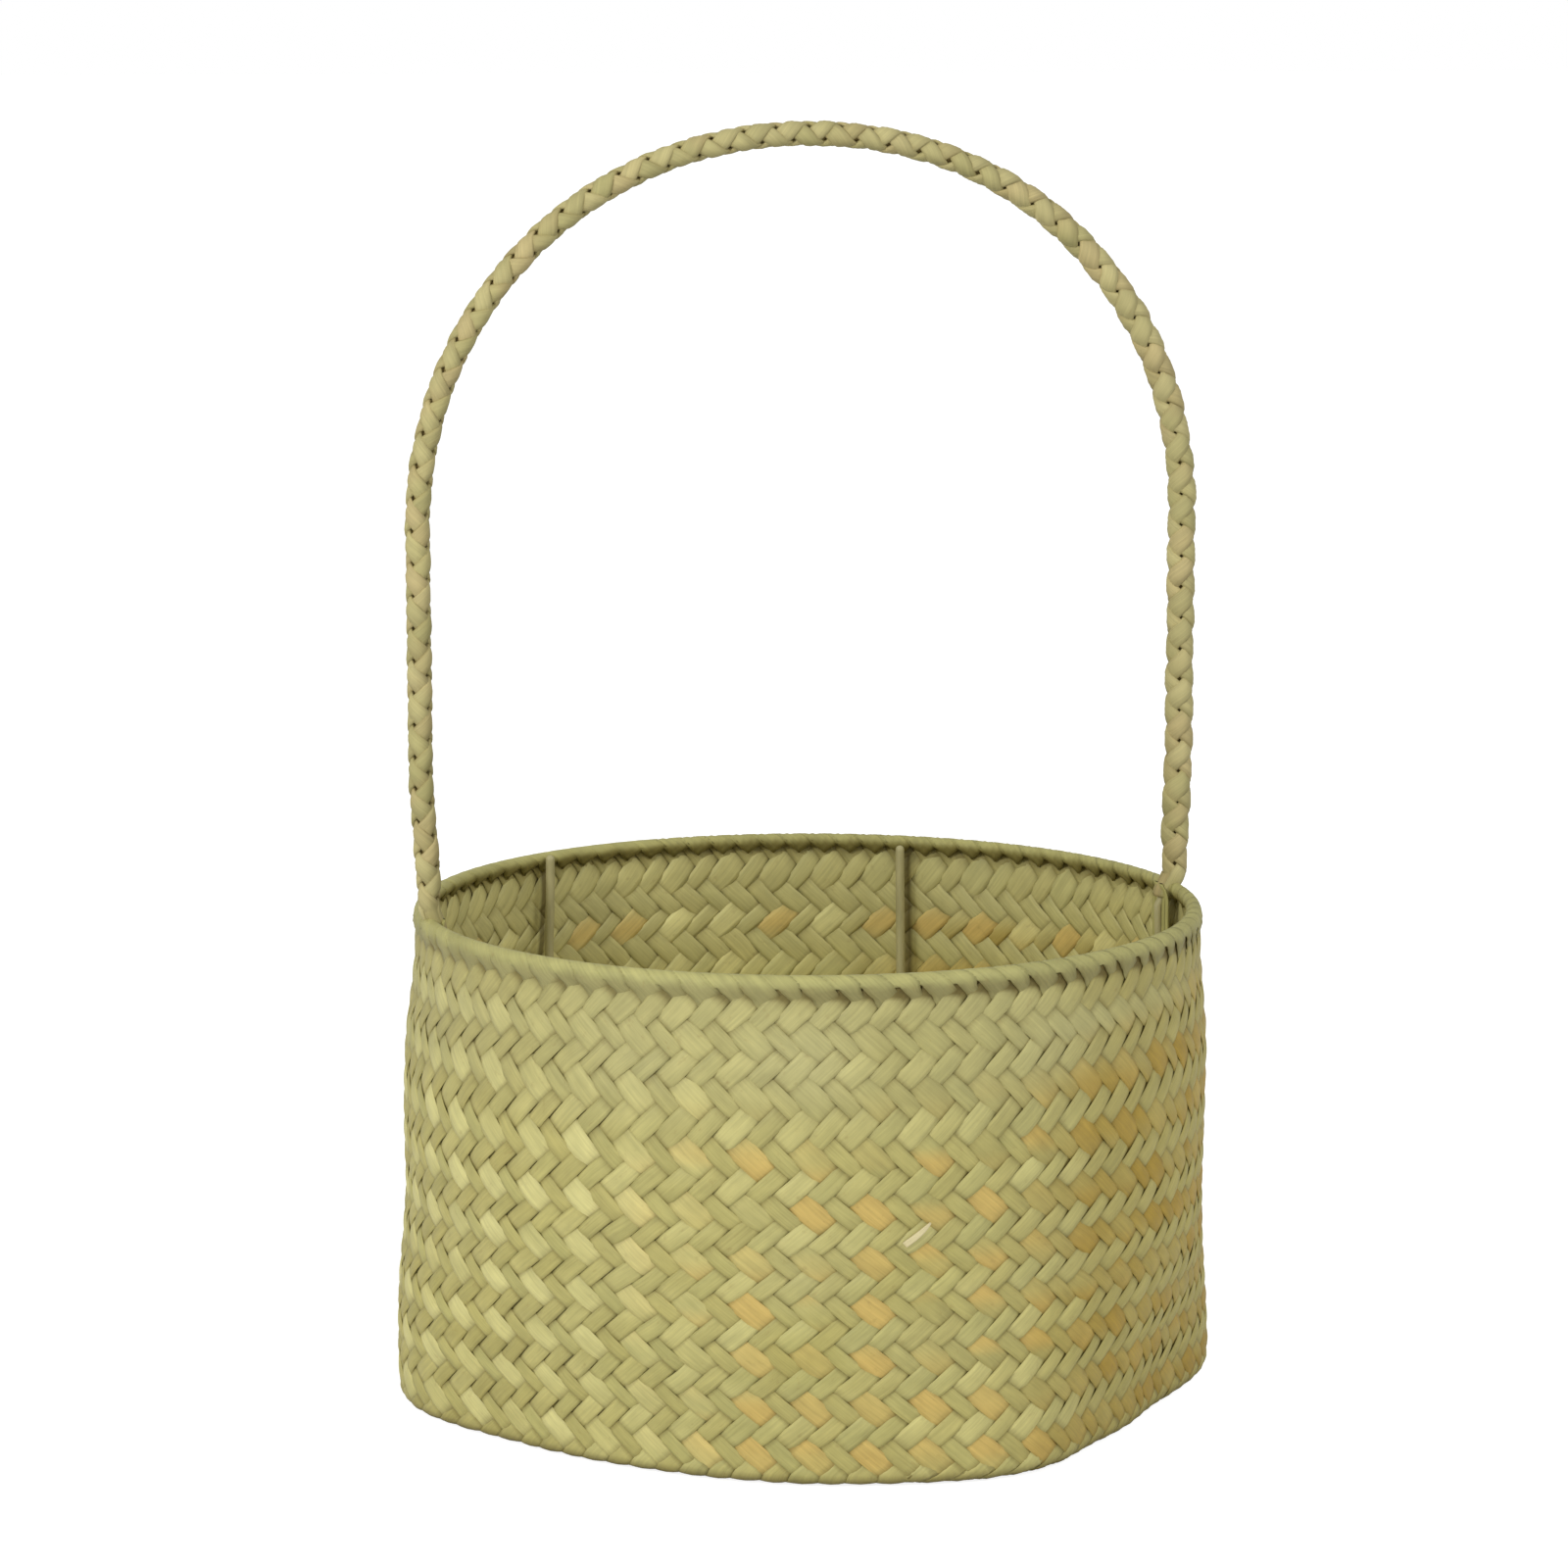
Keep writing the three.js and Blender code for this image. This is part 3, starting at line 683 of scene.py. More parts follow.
class Strip:
    """One whole strip: down one side of the wall, across the floor and up the other side. axis 0
    runs along X and axis 1 along Y; number is the strip's place across, in halves from the middle.
    Its values have a row for each station along it and a column for each point of its section."""

    def __init__(self, axis, number):
        self.axis = axis
        self.far = abs(number)
        self.sign = 1 if number > 0 else -1
        # Lean of the end where t is above 0, 1 for up to the left. The other end's is opposite
        self.lean_there = self.sign if axis == 0 else -self.sign
        top = {1: FOLDED_TOP_LEVEL, -1: SLANTED_TOP_LEVEL}
        low, high = (SIDE_LEVELS - self.far + top[end * self.lean_there] for end in (-1, 1))
        self.stations = np.linspace(-low, high, int((high + low) * SAMPLES_PER_LEVEL))
        self.seed = int(2 * number) + 300 * axis + 90
        self.wide = int(self.far) % 2 == 1
        self.t = self.stations[:, None]
        self.level = self.far + np.abs(self.t) - SIDE_LEVELS
        self.lean = np.where(self.t > 0, self.lean_there, -self.lean_there)
        self.view_side = photo_side(strip_bearing(axis, number, self.t))
        self.set_width()

    def noise(self, length, step, order):
        return smooth_noise(self.t / length + step * self.seed, self.seed + order)

    def set_width(self):
        """Widths, and the levels of the strip's points by them."""
        up_left = 0.5 + 0.5 * self.lean_there * (2 * ease(self.t / LEAN_SWAP_LENGTH + 0.5) - 1)
        spread = WIDTH_SPREAD_UP_RIGHT + (WIDTH_SPREAD_UP_LEFT - WIDTH_SPREAD_UP_RIGHT) * up_left
        half = HALF_WIDTH + (spread if self.wide else -spread) + HALF_WIDTH_MORE_UP_LEFT * up_left
        self.local = self.level + ACROSS * half
        # The folds widen into a smooth roll above the slits where they come out
        self.folded = (self.lean > 0) * rise(self.local, FOLD_LEVEL, 0.3)
        self.loose = 1 - self.folded
        # The slits are open at the right and at the far left
        off_front = np.abs(self.view_side)
        self.open = 0.3 + 0.7 * rise(self.view_side, *SLITS_START)
        self.open = self.open + 0.45 * bump(self.view_side, *LEFT_SLITS)
        self.open = self.open * fall(off_front, *SLITS_END)
        self.slit = (self.lean > 0) * rise(self.local, SLIT_LEVEL, 0.4) * self.loose * self.open
        # The strips that lean up to the right are narrower at the sides, with slits between them
        sparse = rise(off_front, *SPARSE_START) * fall(off_front, *SPARSE_END)
        sparse = (self.lean < 0) * sparse * rise(self.level, 1, 2) * fall(self.level, 34, 1)
        # The two narrow strips on each of the mat's middle lines meet
        meet = spread / 2 if self.far < 1 else 0 * spread
        width = half * (1 + UNEVEN_WIDTH * self.noise(3, 5.3, 1)) + meet
        width = width + (FOLD_HALF_WIDTH - width) * self.folded
        width = width - SLIT_NARROWING * self.slit - SPARSE_NARROWING * sparse
        last_float = (self.lean < 0) * rise(self.level, LAST_FLOAT_LEVEL, 0.6)
        width = width + LAST_FLOAT_WIDENING * last_float
        wander = WANDER * self.noise(6, 3.1, 0)
        self.place = self.far + (wander - meet) * self.loose + ACROSS * width

    def lift(self):
        """How far the strip's points lie outwards from the plait's middle."""
        # The weave's wave fades where the strip's lean swaps, on the floor's middle lines
        swap = np.where(np.abs(self.t) < 0.5, np.sin(np.pi * np.abs(self.t)), 1)
        wave = self.lean * plait_wave(self.level) * swap * self.loose
        flatter = 1 - 0.5 * bump(self.level, 0, 1.6)
        edge_share = STRIP_EDGE_SHARE + (FOLD_EDGE_SHARE - STRIP_EDGE_SHARE) * self.folded
        thick = STRIP_THICKNESS / 2 * (edge_share + (1 - edge_share) * (1 - ACROSS**2))
        tilt = STRIP_TILT * self.noise(2, 9.1, 2) * self.loose + FOLD_TILT * self.folded
        lift = PLAIT_LIFT * wave * flatter - STRIP_CUPPING * ACROSS**2 * wave
        lift = lift + tilt * ACROSS + SIDE * thick
        lift = lift + UNEVEN_LIFT * self.noise(1.7, 4.7, 3) * self.loose
        # The strips that aren't folded end under the folds, close to the hoop
        return lift - UNDER_FOLDS * (self.lean < 0) * rise(self.level, *UNDER_FOLDS_START)

    def points_and_colour(self):
        lift = self.lift()
        toward = np.abs(self.t) + 0 * ACROSS
        points = np.empty(toward.shape + (3,))
        colour = np.empty(points.shape)
        for end in (1, -1):
            rows = (self.stations > 0) if end > 0 else (self.stations <= 0)
            quarter = QUARTERS[(end, self.sign) if self.axis == 0 else (self.sign, end)]
            along, across = toward[rows], self.place[rows]
            on_x, on_y = (along, across) if self.axis == 0 else (across, along)
            a, b = (on_x, on_y) if quarter % 2 == 0 else (on_y, on_x)
            here = mat_point(quarter, a, b, lift[rows])
            bearing = np.arctan2(here[..., 1], here[..., 0])
            points[rows] = here
            colour[rows] = strip_colour(
                end * self.lean_there, self.wide, self.seed, bearing, here[..., 2], self.level[rows]
            )
        return points, colour

    def shaded(self, colour, height):
        """The strip's colour with the border's, with painted light and shade, and dirt along the
        bottom edge.
        """
        local, up_left, up_right = self.local, self.lean > 0, self.lean < 0
        # The border takes the rim's colours; its roll is lighter above than below, with painted light
        # and painted shade
        inside = rise(local, ROLL_INSIDE_LEVEL, 1.0)
        rim = mix(RIM_LEAF * rng.uniform(0.96, 1.04), RIM_INSIDE_LEAF, inside)
        colour = mix(colour, rim, RIM_SHARE * self.folded)
        roll = rise(local, ROLL_LEVEL, 0.8)
        foot = up_left * rise(local, 35.5, 0.6) * OUTSIDE
        colour = colour * (1 + (ROLL_LIGHT * roll - ROLL_SHADE * (1 - roll)) * foot)[..., None]
        # Painted shade where a strip dives under the others
        dived_shade = fall(SIDE * self.lean * plait_wave(self.level), -0.35, 0.8) * self.loose
        colour = mix(colour, PAINTED_SHADE_LEAF, (DIVED_SHADE_SHARE + DIVED_SHADE_MORE_OUTSIDE * SIDE) * dived_shade)
        # Painted shade in the slits, and on the strips that dive under the roll where the slits are
        # open
        colour = mix(colour, PAINTED_SHADE_LEAF, self.slit * (0.12 + 0.28 * ACROSS**2))
        diving_shade = up_right * rise(local, DIVE_LEVEL, 0.35) * OUTSIDE * self.open
        colour = mix(colour, PAINTED_SHADE_LEAF * 0.9, DIVING_SHADE_SHARE * diving_shade)
        # Painted shade under the roll on the inside, and on the folds' ends
        under_roll = up_right * rise(local, SLIT_LEVEL, 0.8) * INSIDE
        fold_end = up_left * rise(local, FOLD_END_LEVEL, 0.4)
        shade_under_roll = UNDER_ROLL_SHARE * under_roll + FOLD_END_SHARE * fold_end
        colour = mix(colour, PAINTED_SHADE_LEAF, shade_under_roll)
        # Painted light makes the inside a little paler, most of all at the left of the back
        left_back = rise(-self.view_side, *LEFT_BACK_START) * fall(-self.view_side, *LEFT_BACK_END)
        light = (INSIDE_LIGHT + INSIDE_LEFT_LIGHT * left_back) * INSIDE
        colour = colour * (1 + light)[..., None]
        # Painted shade and dirt along the outside's bottom edge
        return mix(colour, PAINTED_SHADE_LEAF, BOTTOM_SHARE * fall(height, 0.5, 4.5) * OUTSIDE)

    def add_to(self, batch):
        points, colour = self.points_and_colour()
        colour = self.shaded(colour, points[..., 2])
        batch.add(points, colour, stacked(self.t * 6, ACROSS * 3, self.seed * 1.37), OUTSIDE)


# Materials


class Nodes:
    """Short names for making a material's nodes."""

    def __init__(self, name):
        self.material = bpy.data.materials.new(name)
        self.material.use_nodes = True
        self.tree = self.material.node_tree
        self.shader = self.tree.nodes["Principled BSDF"]

    def add(self, kind, inputs=(), **settings):
        made = self.tree.nodes.new(kind)
        for key, value in settings.items():
            setattr(made, key, value)
        for key, value in dict(inputs).items():
            made.inputs[key].default_value = value
        return made

    def link(self, out, into):
        self.tree.links.new(out, into)

    def attribute(self, name):
        return self.add("ShaderNodeAttribute", attribute_name=name)

    def noise(self, vector, stretch, scale, detail, roughness):
        place = self.add("ShaderNodeMapping", {"Scale": stretch})
        self.link(vector, place.inputs["Vector"])
        inputs = {"Scale": scale, "Detail": detail, "Roughness": roughness}
        made = self.add("ShaderNodeTexNoise", inputs)
        self.link(place.outputs["Vector"], made.inputs["Vector"])
        return made.outputs["Fac"]

    def spread(self, value, low, high, to_low, to_high):
        inputs = {"From Min": low, "From Max": high, "To Min": to_low, "To Max": to_high}
        made = self.add("ShaderNodeMapRange", inputs)
        self.link(value, made.inputs["Value"])
        return made.outputs["Result"]

    def from_noise(self, noise, to_low, to_high):
        """The middle of a noise's values, spread to a range."""
        return self.spread(noise, 0.3, 0.7, to_low, to_high)

    def maths(self, operation, a, b=0):
        made = self.add("ShaderNodeMath", operation=operation)
        for socket, value in zip(made.inputs, (a, b)):
            if isinstance(value, (int, float)):
                socket.default_value = value
            else:
                self.link(value, socket)
        return made.outputs[0]

    def times(self, colour, value):
        """Colour multiplied by a number."""
        made = self.add("ShaderNodeVectorMath", operation="SCALE")
        self.link(colour, made.inputs[0])
        self.link(value, made.inputs["Scale"])
        return made.outputs[0]

    def tinted(self, colour, tint, share):
        # A mix of colours has them in sockets 6 and 7
        made = self.add("ShaderNodeMix", {7: (*tint, 1)}, data_type="RGBA")
        self.link(share, made.inputs["Factor"])
        self.link(colour, made.inputs[6])
        return made.outputs[2]

    def bump(self, height, strength, distance):
        made = self.add("ShaderNodeBump", {"Strength": strength, "Distance": distance})
        self.link(height, made.inputs["Height"])
        self.link(made.outputs["Normal"], self.shader.inputs["Normal"])


def beside_stakes(nodes, outside):
    """Share of the narrow line of shade on the wall's inside beside each back stake."""
    place = nodes.add("ShaderNodeSeparateXYZ")
    nodes.link(nodes.add("ShaderNodeTexCoord").outputs["Object"], place.inputs[0])
    turn = nodes.maths("ARCTAN2", place.outputs["Y"], place.outputs["X"])
    lines = []
    for middle in SHADED_BEARINGS:
        off = nodes.maths("ABSOLUTE", nodes.maths("SUBTRACT", turn, math.radians(middle)))
        lines.append(nodes.spread(off, *np.radians(SHADED_DEGREES), 1, 0))
    lower = nodes.spread(place.outputs["Z"], SHADED_LOW * MM, SHADED_LOW * 2 * MM, 0, 1)
    upper = nodes.spread(place.outputs["Z"], SHADED_HIGH * MM, (SHADED_HIGH + 3) * MM, 1, 0)
    upright = nodes.maths("MULTIPLY", lower, upper)
    share = nodes.maths("MULTIPLY", nodes.maths("ADD", *lines), upright)
    return nodes.maths("MULTIPLY", share, nodes.spread(outside, 0, 1, STAKE_SHADE_SHARE, 0))


def leaf_material(name, roughness, fibre_depth):
    """Dried leaf: its own colour at each point with painted shade beside the back stakes, lengthwise
    fibres, small stains and a satin shine.
    """
    nodes = Nodes(name)
    leaf = nodes.attribute("leaf")
    shaded = beside_stakes(nodes, leaf.outputs["Alpha"])
    colour = nodes.tinted(leaf.outputs["Color"], PAINTED_SHADE_LEAF * 0.8, shaded)
    # Noises stretched along the strip, with another part of them for each strip
    grain = nodes.attribute("grain").outputs["Vector"]
    fibres = nodes.noise(grain, (0.05, 1.6, 1), 1.0, 4, 0.6)
    blotches = nodes.noise(grain, (0.12, 0.25, 1), 1.0, 2, 0.5)
    stains = nodes.noise(grain, (0.3, 0.5, 1), 1.0, 3, 0.6)
    shade = nodes.maths(
        "MULTIPLY", nodes.from_noise(fibres, 0.88, 1.1), nodes.from_noise(blotches, 0.92, 1.08)
    )
    stained = nodes.spread(stains, 0.62, 0.8, 0, 0.35)
    colour = nodes.tinted(nodes.times(colour, shade), LEAF_STAIN, stained)
    nodes.link(colour, nodes.shader.inputs["Base Color"])
    rough = nodes.from_noise(fibres, roughness - 0.08, roughness + 0.08)
    nodes.link(rough, nodes.shader.inputs["Roughness"])
    nodes.shader.inputs["Specular IOR Level"].default_value = 0.2
    nodes.bump(fibres, 0.6, fibre_depth)
    return nodes.material


def wire_material():
    nodes = Nodes("coated_wire")
    place = nodes.add("ShaderNodeTexCoord").outputs["Object"]
    wear = nodes.noise(place, (1, 1, 0.3), 260, 3, 0.6)
    base = nodes.add("ShaderNodeRGB")
    base.outputs[0].default_value = (*WIRE_COAT, 1)
    colour = nodes.times(base.outputs[0], nodes.from_noise(wear, 0.86, 1.1))
    nodes.link(colour, nodes.shader.inputs["Base Color"])
    nodes.link(nodes.from_noise(wear, 0.42, 0.58), nodes.shader.inputs["Roughness"])
    nodes.bump(wear, 0.3, 0.1 * MM)
    return nodes.material


PLAIT = leaf_material("plaited_leaf_finish", 0.56, 0.12 * MM)
BRAID = leaf_material("braided_leaf_finish", 0.62, 0.16 * MM)
WIRE = wire_material()


# Body of strips, in pieces of strips that lie side by side


def make_body():
    numbers = [n + 0.5 for n in range(-SIDE_LEVELS, SIDE_LEVELS)]
    for axis, way in ((0, "x"), (1, "y")):
        for group in range(0, len(numbers), STRIPS_A_PIECE):
            batch = Batch()
            for number in numbers[group : group + STRIPS_A_PIECE]:
                Strip(axis, number).add_to(batch)
            name = f"leaf_strips_{way}_{group // STRIPS_A_PIECE + 1:02d}"
            batch.build(name, PLAIT)
    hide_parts("plaited_wall", "plaited_floor", "folded_border")


# Wires


def tube_about(points, out, side, radius, sides):
    """Rings of a round tube along points, by its outward and sideways directions there."""
    angle = round_angles(sides)[None, :, None]
    radius = np.broadcast_to(radius, (len(points),))[:, None, None]
    return points[:, None] + radius * (out[:, None] * np.cos(angle) + side * np.sin(angle))


def tube(points, radius):
    """Rings of a wire that goes round the basket's axis or up beside it."""
    ahead = ahead_along(points)
    radial = points * (1, 1, 0)
    flat = unit(radial - (radial * ahead).sum(1)[:, None] * ahead)
    return tube_about(points, flat, np.cross(ahead, flat)[:, None], radius, WIRE_SIDES)


def looped_tube(points, radius):
    closed = np.concatenate([points[-2:], points, points[:2]])
    return tube(closed, radius)[2:-2]


def wire_piece(name, rings, looped, node):
    stations, sides = rings.shape[:2]
    faces = ring_quads(stations, sides, looped).tolist()
    if not looped:
        faces += [end.tolist() for end in ring_ends(stations, sides)]
    made = new_object(name, rings.reshape(-1, 3) * MM, faces, {})
    made.data.materials.append(WIRE)
    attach(made, "root")
    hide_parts(node)


def rounded_end(points, radius):
    """Radii that round off the last stations of a wire."""
    left = np.linalg.norm(points[-1] - points, axis=1)
    inside = np.clip(1 - left / radius, 0, 1)
    return radius * np.sqrt(np.clip(1 - inside**2, 0.02, 1))


def base_hoop_radius(bearing):
    flat = BASE_RADIUS - BOTTOM_EDGE_RADIUS - CLEARANCE - BASE_HOOP_INSET
    return flat + corner_kick(0, bearing)


def upright_radius(z, bearing, wire, bow):
    foot = base_hoop_radius(bearing)
    at_border = BORDER_INSIDE - CLEARANCE - wire / 2
    foot_height = BASE_HOOP_HEIGHT + BASE_HOOP_WIRE / 2 + CLEARANCE
    share = np.clip((z - foot_height) / (BORDER_FOOT - foot_height), 0, 1)
    return foot + (at_border - foot) * share + bow * np.sin(math.pi * share)


def make_wires():
    bearing = np.linspace(0, 2 * math.pi, 180, endpoint=False)
    for name, reach, height, radius, node in (
        ("rim_wire", FOLD_CENTRE, RIM_HOOP_HEIGHT, RIM_HOOP_WIRE / 2 - RIM_WIRE_PLAY, "rim_hoop"),
        ("base_wire", base_hoop_radius(bearing), BASE_HOOP_HEIGHT, BASE_HOOP_WIRE / 2, "base_hoop"),
    ):
        hoop = stacked(reach * np.cos(bearing), reach * np.sin(bearing), height)
        wire_piece(name, looped_tube(hoop, radius), True, node)
    for node, (degrees, below_rim) in STAKES.items():
        at = math.radians(degrees)
        top = RIM_HEIGHT - below_rim
        tip = top - STAKE_WIRE / 2 * (1 - np.sin(np.linspace(0.2, 1.5, 6)))
        z = np.concatenate([np.linspace(UPRIGHT_LOW, top - 2, 40), tip])
        r = upright_radius(z, at, STAKE_WIRE, STAKE_BOW)
        points = np.stack([r * math.cos(at), r * math.sin(at), z], -1)
        rings = tube(points, rounded_end(points, STAKE_WIRE / 2))
        wire_piece(node.replace("stake", "wire_stake"), rings, False, node)


# Handle


ALONG_Y = np.array([0.0, 1.0, 0.0])


def arch_point(angle):
    """Point of the arch's line by its angle, and the outward direction there."""
    across = np.cos(angle) / ARCH_RADIUS
    up = np.sin(angle) / ARCH_RISE
    n = ARCH_SQUARENESS
    reach = (np.abs(across) ** n + np.abs(up) ** n) ** (-1 / n)
    point = stacked(reach * np.cos(angle), 0, ARCH_SPRING + reach * np.sin(angle))
    out_across = np.sign(across) * np.abs(across) ** (n - 1) / ARCH_RADIUS
    return point, unit(stacked(out_across, 0, np.abs(up) ** (n - 1) / ARCH_RISE))


def handle_line(step):
    """The handle's line from its right foot over the arch to its left foot: run, points and
    outward directions."""
    z = np.linspace(STRANDS_END, ARCH_SPRING, 200)[:-1]
    legs = []
    for tuck in (LEG_TUCK_RIGHT, LEG_TUCK_LEFT):
        reach = tuck * ease((LEG_TUCK_START - z) / LEG_TUCK_LENGTH)
        reach = reach + (FOOT_REACH - tuck) * ease((FOOT_START - z) / FOOT_LENGTH)
        legs.append(stacked(ARCH_RADIUS - reach, 0, z))
    right, left = legs[0], (legs[1] * (-1, 1, 1))[::-1]
    arch, arch_out = arch_point(np.linspace(0, math.pi, 800))
    points = np.concatenate([right, arch, left])
    out = np.concatenate([right * 0 + (1, 0, 0), arch_out, left * 0 + (-1, 0, 0)])
    run = np.concatenate([[0], np.cumsum(np.linalg.norm(np.diff(points, axis=0), axis=1))])
    even = np.linspace(0, run[-1], int(run[-1] / step))
    points, out = (
        np.stack([np.interp(even, run, line[:, i]) for i in range(3)], -1) for line in (points, out)
    )
    return even, points, unit(out)


def make_braid():
    run, centre, out = handle_line(BRAID_PITCH / 30)
    cross = round_angles(STRAND_SIDES)
    cos, sin = np.cos(cross), np.sin(cross)
    height = centre[:, 2]
    # From the right foot to the left one the strands turn about the line less and less
    over_arch = ease((1 - out[:, 0]) / 2)
    turn = BRAID_TURN * (1 - over_arch) + math.pi / 4
    # The strands are thickest where the plaiting began, at the right, and thin out at both feet
    swell = 1 + BRAID_SWELL * rise(out[:, 0], 0.2, 0.7)
    thinning = THINNING * ease((THINNING_START - height) / THINNING_LENGTH)
    thinning = thinning + FOOT_THINNING * ease((FOOT_START - height) / FOOT_LENGTH)
    swell = swell * (1 - thinning)
    # At the feet they run straight down
    straight = FOOT_START - STRANDS_END
    plaited = np.clip(run, straight, run[-1] - straight) + BRAID_SHIFT * (1 - 2 * over_arch)
    batch = Batch()
    for strand in range(4):
        hand = 1 if strand < 2 else -1
        seed = 50 + strand
        swirl = hand * (2 * math.pi * plaited / BRAID_PITCH) + math.pi * (strand % 2)
        angle = swirl + turn + 0.09 * smooth_noise(run / 17, 45)
        over = hand * np.cos(2 * swirl)
        crown = np.tanh(BRAID_CROWN * over) / math.tanh(BRAID_CROWN)
        radius = BRAID_PATH_RADIUS + BRAID_WEAVE * crown + 0.13 * smooth_noise(run / 7, seed)
        radial = out * np.cos(angle)[:, None] + ALONG_Y * np.sin(angle)[:, None]
        middle = centre + radial * (radius * swell)[:, None]
        ahead = ahead_along(middle)
        lift = unit(radial - (radial * ahead).sum(1)[:, None] * ahead)
        wide = np.cross(ahead, lift)
        half = STRAND_HALF_WIDTH * swell * (1 + 0.1 * smooth_noise(run / 9 + 3, seed + 9))
        plump = STRAND_HALF_THICKNESS * swell * (1 + 0.13 * smooth_noise(run / 6 + 5, seed + 19))
        ridges = 1 + 0.05 * np.cos(5 * cross + seed)
        rings = (
            middle[:, None]
            + wide[:, None] * (half[:, None] * cos)[..., None]
            + lift[:, None] * (plump[:, None] * sin * ridges)[..., None]
        )
        share = 0.5 + 0.5 * smooth_noise(run / 14 + 7 * strand, seed + 29)
        own = mix(BRAID_STRAW, BRAID_GREEN, share)
        own = mix(own, BRAID_TAN, 0.4 * ease(smooth_noise(run / 11 + 5 * strand, seed + 49) * 1.5))
        own = own * (1 + 0.07 * smooth_noise(run / 5, seed + 39))[:, None]
        # Darker at its edges, with painted shade on its inner side and where it dives
        colour = mix(own[:, None], BRAID_EDGE_AND_SHADE, (0.12 + 0.15 * share[:, None]) * np.abs(cos) ** 4)
        colour = mix(colour, BRAID_EDGE_AND_SHADE * 0.6, 0.6 * np.clip(-sin, 0, 1))
        colour = mix(colour, BRAID_EDGE_AND_SHADE, 0.4 * ease(0.1 - over)[:, None])
        # Painted shade on the handle's lower and right sides
        facing = wide[:, None] * cos[:, None] + lift[:, None] * sin[:, None]
        shade = 0.24 * ease(-facing[..., 2]) + 0.2 * ease(facing[..., 0])
        colour = colour * (1 - shade)[..., None]
        batch.add(rings, colour, stacked(0.5 * run[:, None], 5 * cos, seed * 2.1))
    # A dark core inside the braid is painted shade seen between the strands
    inner = slice(12, -12, 6)
    core = tube_about(centre[inner], out[inner], ALONG_Y, BRAID_CORE_RADIUS, STRAND_SIDES)
    batch.add(core, np.ones(core.shape) * BRAID_EDGE_AND_SHADE * 0.75, core * 0.5)
    braid = batch.build("handle_plait", BRAID)
    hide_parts("handle_braid")


def make_handle_wire():
    centre = handle_line(2.0)[1]
    z = np.linspace(UPRIGHT_LOW, STRANDS_END - 3, 30)
    leg = stacked(upright_radius(z, 0, HANDLE_WIRE, 0), 0, z)
    points = np.concatenate([leg, centre, (leg * (-1, 1, 1))[::-1]])
    flat = np.cross(ALONG_Y, ahead_along(points))
    rings = tube_about(points, flat, ALONG_Y, HANDLE_WIRE / 2 - HANDLE_WIRE_PLAY, STRAND_SIDES)
    wire_piece("handle_core_wire", rings, False, "handle_wire")


def make_tail(end, turn, place, hand, rank, order):
    """End of one of the braid's strands, laid down inside the border beside the wire."""
    node = f"braid_tail_{end}_{rank}_{place}"
    low, high = node_low(node)[2], node_high(node)[2]
    seed = 70 + 4 * (turn > 1) + 2 * (hand > 0) + order
    s = np.linspace(0, 1, 26)[:, None]
    z = high - 0.5 - s * (high - low - 0.5)
    turn_in = fall(s, 0, TAIL_TURN_IN)
    x = BORDER_INSIDE - TAIL_INSIDE_BORDER - 0.8 * turn_in
    y = hand * (TAIL_BESIDE_WIRE + TAIL_PITCH * order * ease(s / TAIL_SPREAD) - turn_in)
    y = y + 0.25 * smooth_noise(s * 3 + seed, seed)
    thick = TAIL_HALF_THICKNESS * (1 - 0.6 * ACROSS**2) * SIDE
    half = TAIL_HALF_WIDTH * (1 - 0.3 * rise(s, 0.85, 0.15))
    x, y = x - thick - 0.15 * ACROSS**2, y + half * ACROSS
    cos, sin = math.cos(turn), math.sin(turn)
    rings = stacked(x * cos - y * sin, x * sin + y * cos, z)
    edges = 1 - 0.25 * np.clip((np.abs(ACROSS) - 0.7) / 0.3, 0, 1)
    colour = mix(STRAW, GREEN_LEAF, 0.5) * np.ones(rings.shape) * edges[:, None]
    batch = Batch()
    batch.add(rings, colour, stacked(z, ACROSS * 3, seed))
    tail = batch.build(f"strand_tail_{end}_{rank}_{place}", BRAID)
    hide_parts(node)


def make_tails():
    for end, turn in (("right", 0.0), ("left", math.pi)):
        for place, hand in (("a", -1), ("b", 1)):
            for rank, order in (("inner", 0), ("outer", 1)):
                make_tail(end, turn, place, hand, rank, order)


def make_sliver():
    """A loose end of leaf that sticks out of the plait at the front."""
    s = np.linspace(0, 1, 14)[:, None]
    bearing = math.radians(SLIVER_BEARING) + s * math.radians(SLIVER_TURN)
    climb = SLIVER_LOW + s * SLIVER_RISE
    reach = PLAIT_DEPTH - 0.2 + SLIVER_ARCH * np.sin(math.pi * s * 0.8)
    reach = reach + SIDE * SLIVER_HALF_THICKNESS
    across = SLIVER_HALF_WIDTH * (1 - 0.7 * s**3) * ACROSS
    aside, down = SLIVER_SLANT
    points = body_point(bearing + across * aside / SLIVER_REACH, climb - across * down, reach)
    batch = Batch()
    batch.add(points, np.ones(points.shape) * SLIVER_LEAF, stacked(s * 6, ACROSS, 3.3))
    batch.build("loose_sliver", PLAIT)


# Stage, in metres

FLOOR_HALF_SIZE = 30.0
FLOOR_GREY = 0.9
FLOOR_GLOW = 1.7
WORLD_LIGHT = 0.55
LAMP_TARGET = (0, 0, 0.12)
# Name, place in metres, size in metres and watts
LAMPS = (
    ("key", (-1.85, -1.15, 1.15), 0.6, 23.2),
    ("fill", (1.3, -1.5, 1.3), 0.6, 10.5),
    ("top", (-0.1, -0.1, 2.2), 1.2, 3),
    ("front", (-0.3, -2.2, 0.9), 0.9, 4),
)


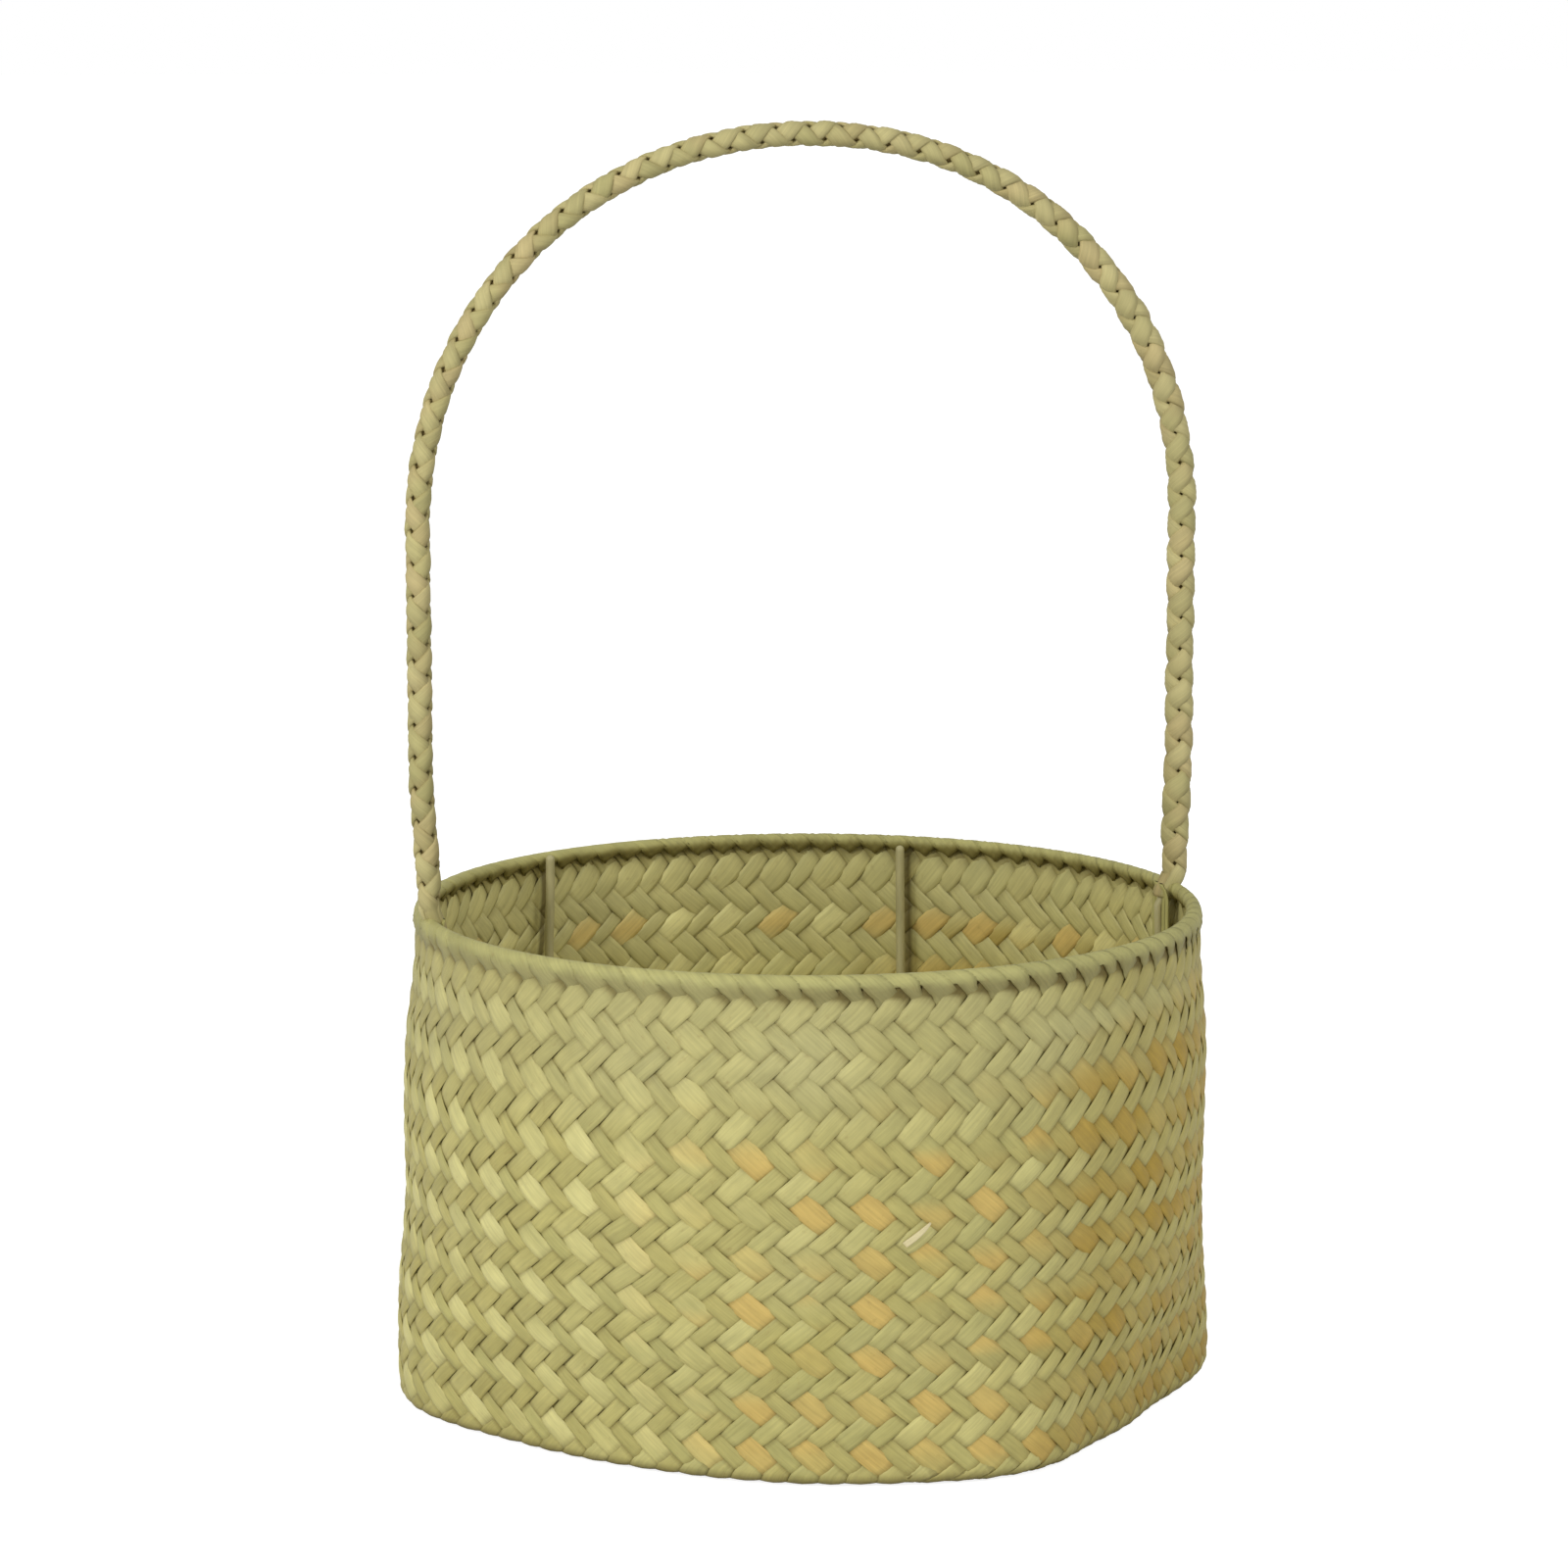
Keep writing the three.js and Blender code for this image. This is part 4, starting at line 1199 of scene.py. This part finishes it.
def make_stage():
    nodes = Nodes("pale_floor")
    path = nodes.add("ShaderNodeLightPath")
    nodes.shader.inputs["Base Color"].default_value = (FLOOR_GREY, FLOOR_GREY, FLOOR_GREY, 1)
    nodes.shader.inputs["Roughness"].default_value = 0.9
    glow = nodes.add("ShaderNodeEmission", {"Color": (1, 1, 1, 1), "Strength": FLOOR_GLOW})
    blend = nodes.add("ShaderNodeMixShader")
    nodes.link(nodes.maths("MULTIPLY", path.outputs["Is Camera Ray"], 0.5), blend.inputs[0])
    nodes.link(nodes.shader.outputs[0], blend.inputs[1])
    nodes.link(glow.outputs[0], blend.inputs[2])
    nodes.link(blend.outputs[0], nodes.tree.nodes["Material Output"].inputs["Surface"])
    size = FLOOR_HALF_SIZE
    corners = [(-size, -size, 0), (size, -size, 0), (size, size, 0), (-size, size, 0)]
    floor = new_object("floor", corners, [(0, 1, 2, 3)], {}, smooth=False)
    floor.data.materials.append(nodes.material)


def make_light():
    world = bpy.data.worlds.new("studio")
    bpy.context.scene.world = world
    world.use_nodes = True
    tree = world.node_tree
    back = tree.nodes["Background"]
    back.inputs["Color"].default_value = (1, 1, 1, 1)
    path = tree.nodes.new("ShaderNodeLightPath")
    strength = tree.nodes.new("ShaderNodeMapRange")
    strength.inputs["To Min"].default_value = WORLD_LIGHT
    strength.inputs["To Max"].default_value = 1.0
    tree.links.new(path.outputs["Is Camera Ray"], strength.inputs["Value"])
    tree.links.new(strength.outputs["Result"], back.inputs["Strength"])
    for name, place, size, power in LAMPS:
        lamp = bpy.data.lights.new(name, "AREA")
        lamp.size = size
        lamp.energy = power
        light = placed(name, lamp)
        light.location = place
        toward = Vector(LAMP_TARGET) - Vector(place)
        light.rotation_euler = toward.to_track_quat("-Z", "Y").to_euler()


# Camera, fitted to the photograph's rim ellipse, base and handle
CAMERA_DISTANCE = 1500.0
CAMERA_HEIGHT = 436.7
CAMERA_AZIMUTH = -15.0
CAMERA_PITCH = 9.198
CAMERA_LENS = 110.05
CAMERA_SHIFT = -0.0151


def make_camera():
    data = bpy.data.cameras.new("camera")
    data.lens = CAMERA_LENS
    data.sensor_width = 36
    data.shift_x = CAMERA_SHIFT
    camera = placed("camera", data)
    azimuth = math.radians(CAMERA_AZIMUTH)
    x, y = math.sin(azimuth) * CAMERA_DISTANCE, -math.cos(azimuth) * CAMERA_DISTANCE
    camera.location = Vector((x, y, CAMERA_HEIGHT)) * MM
    camera.rotation_euler = (math.radians(90 - CAMERA_PITCH), 0, azimuth)
    bpy.context.scene.camera = camera


bpy.context.scene.view_settings.view_transform = "Standard"
make_camera()
make_body()
make_wires()
make_handle_wire()
make_braid()
make_tails()
make_sliver()
make_stage()
make_light()
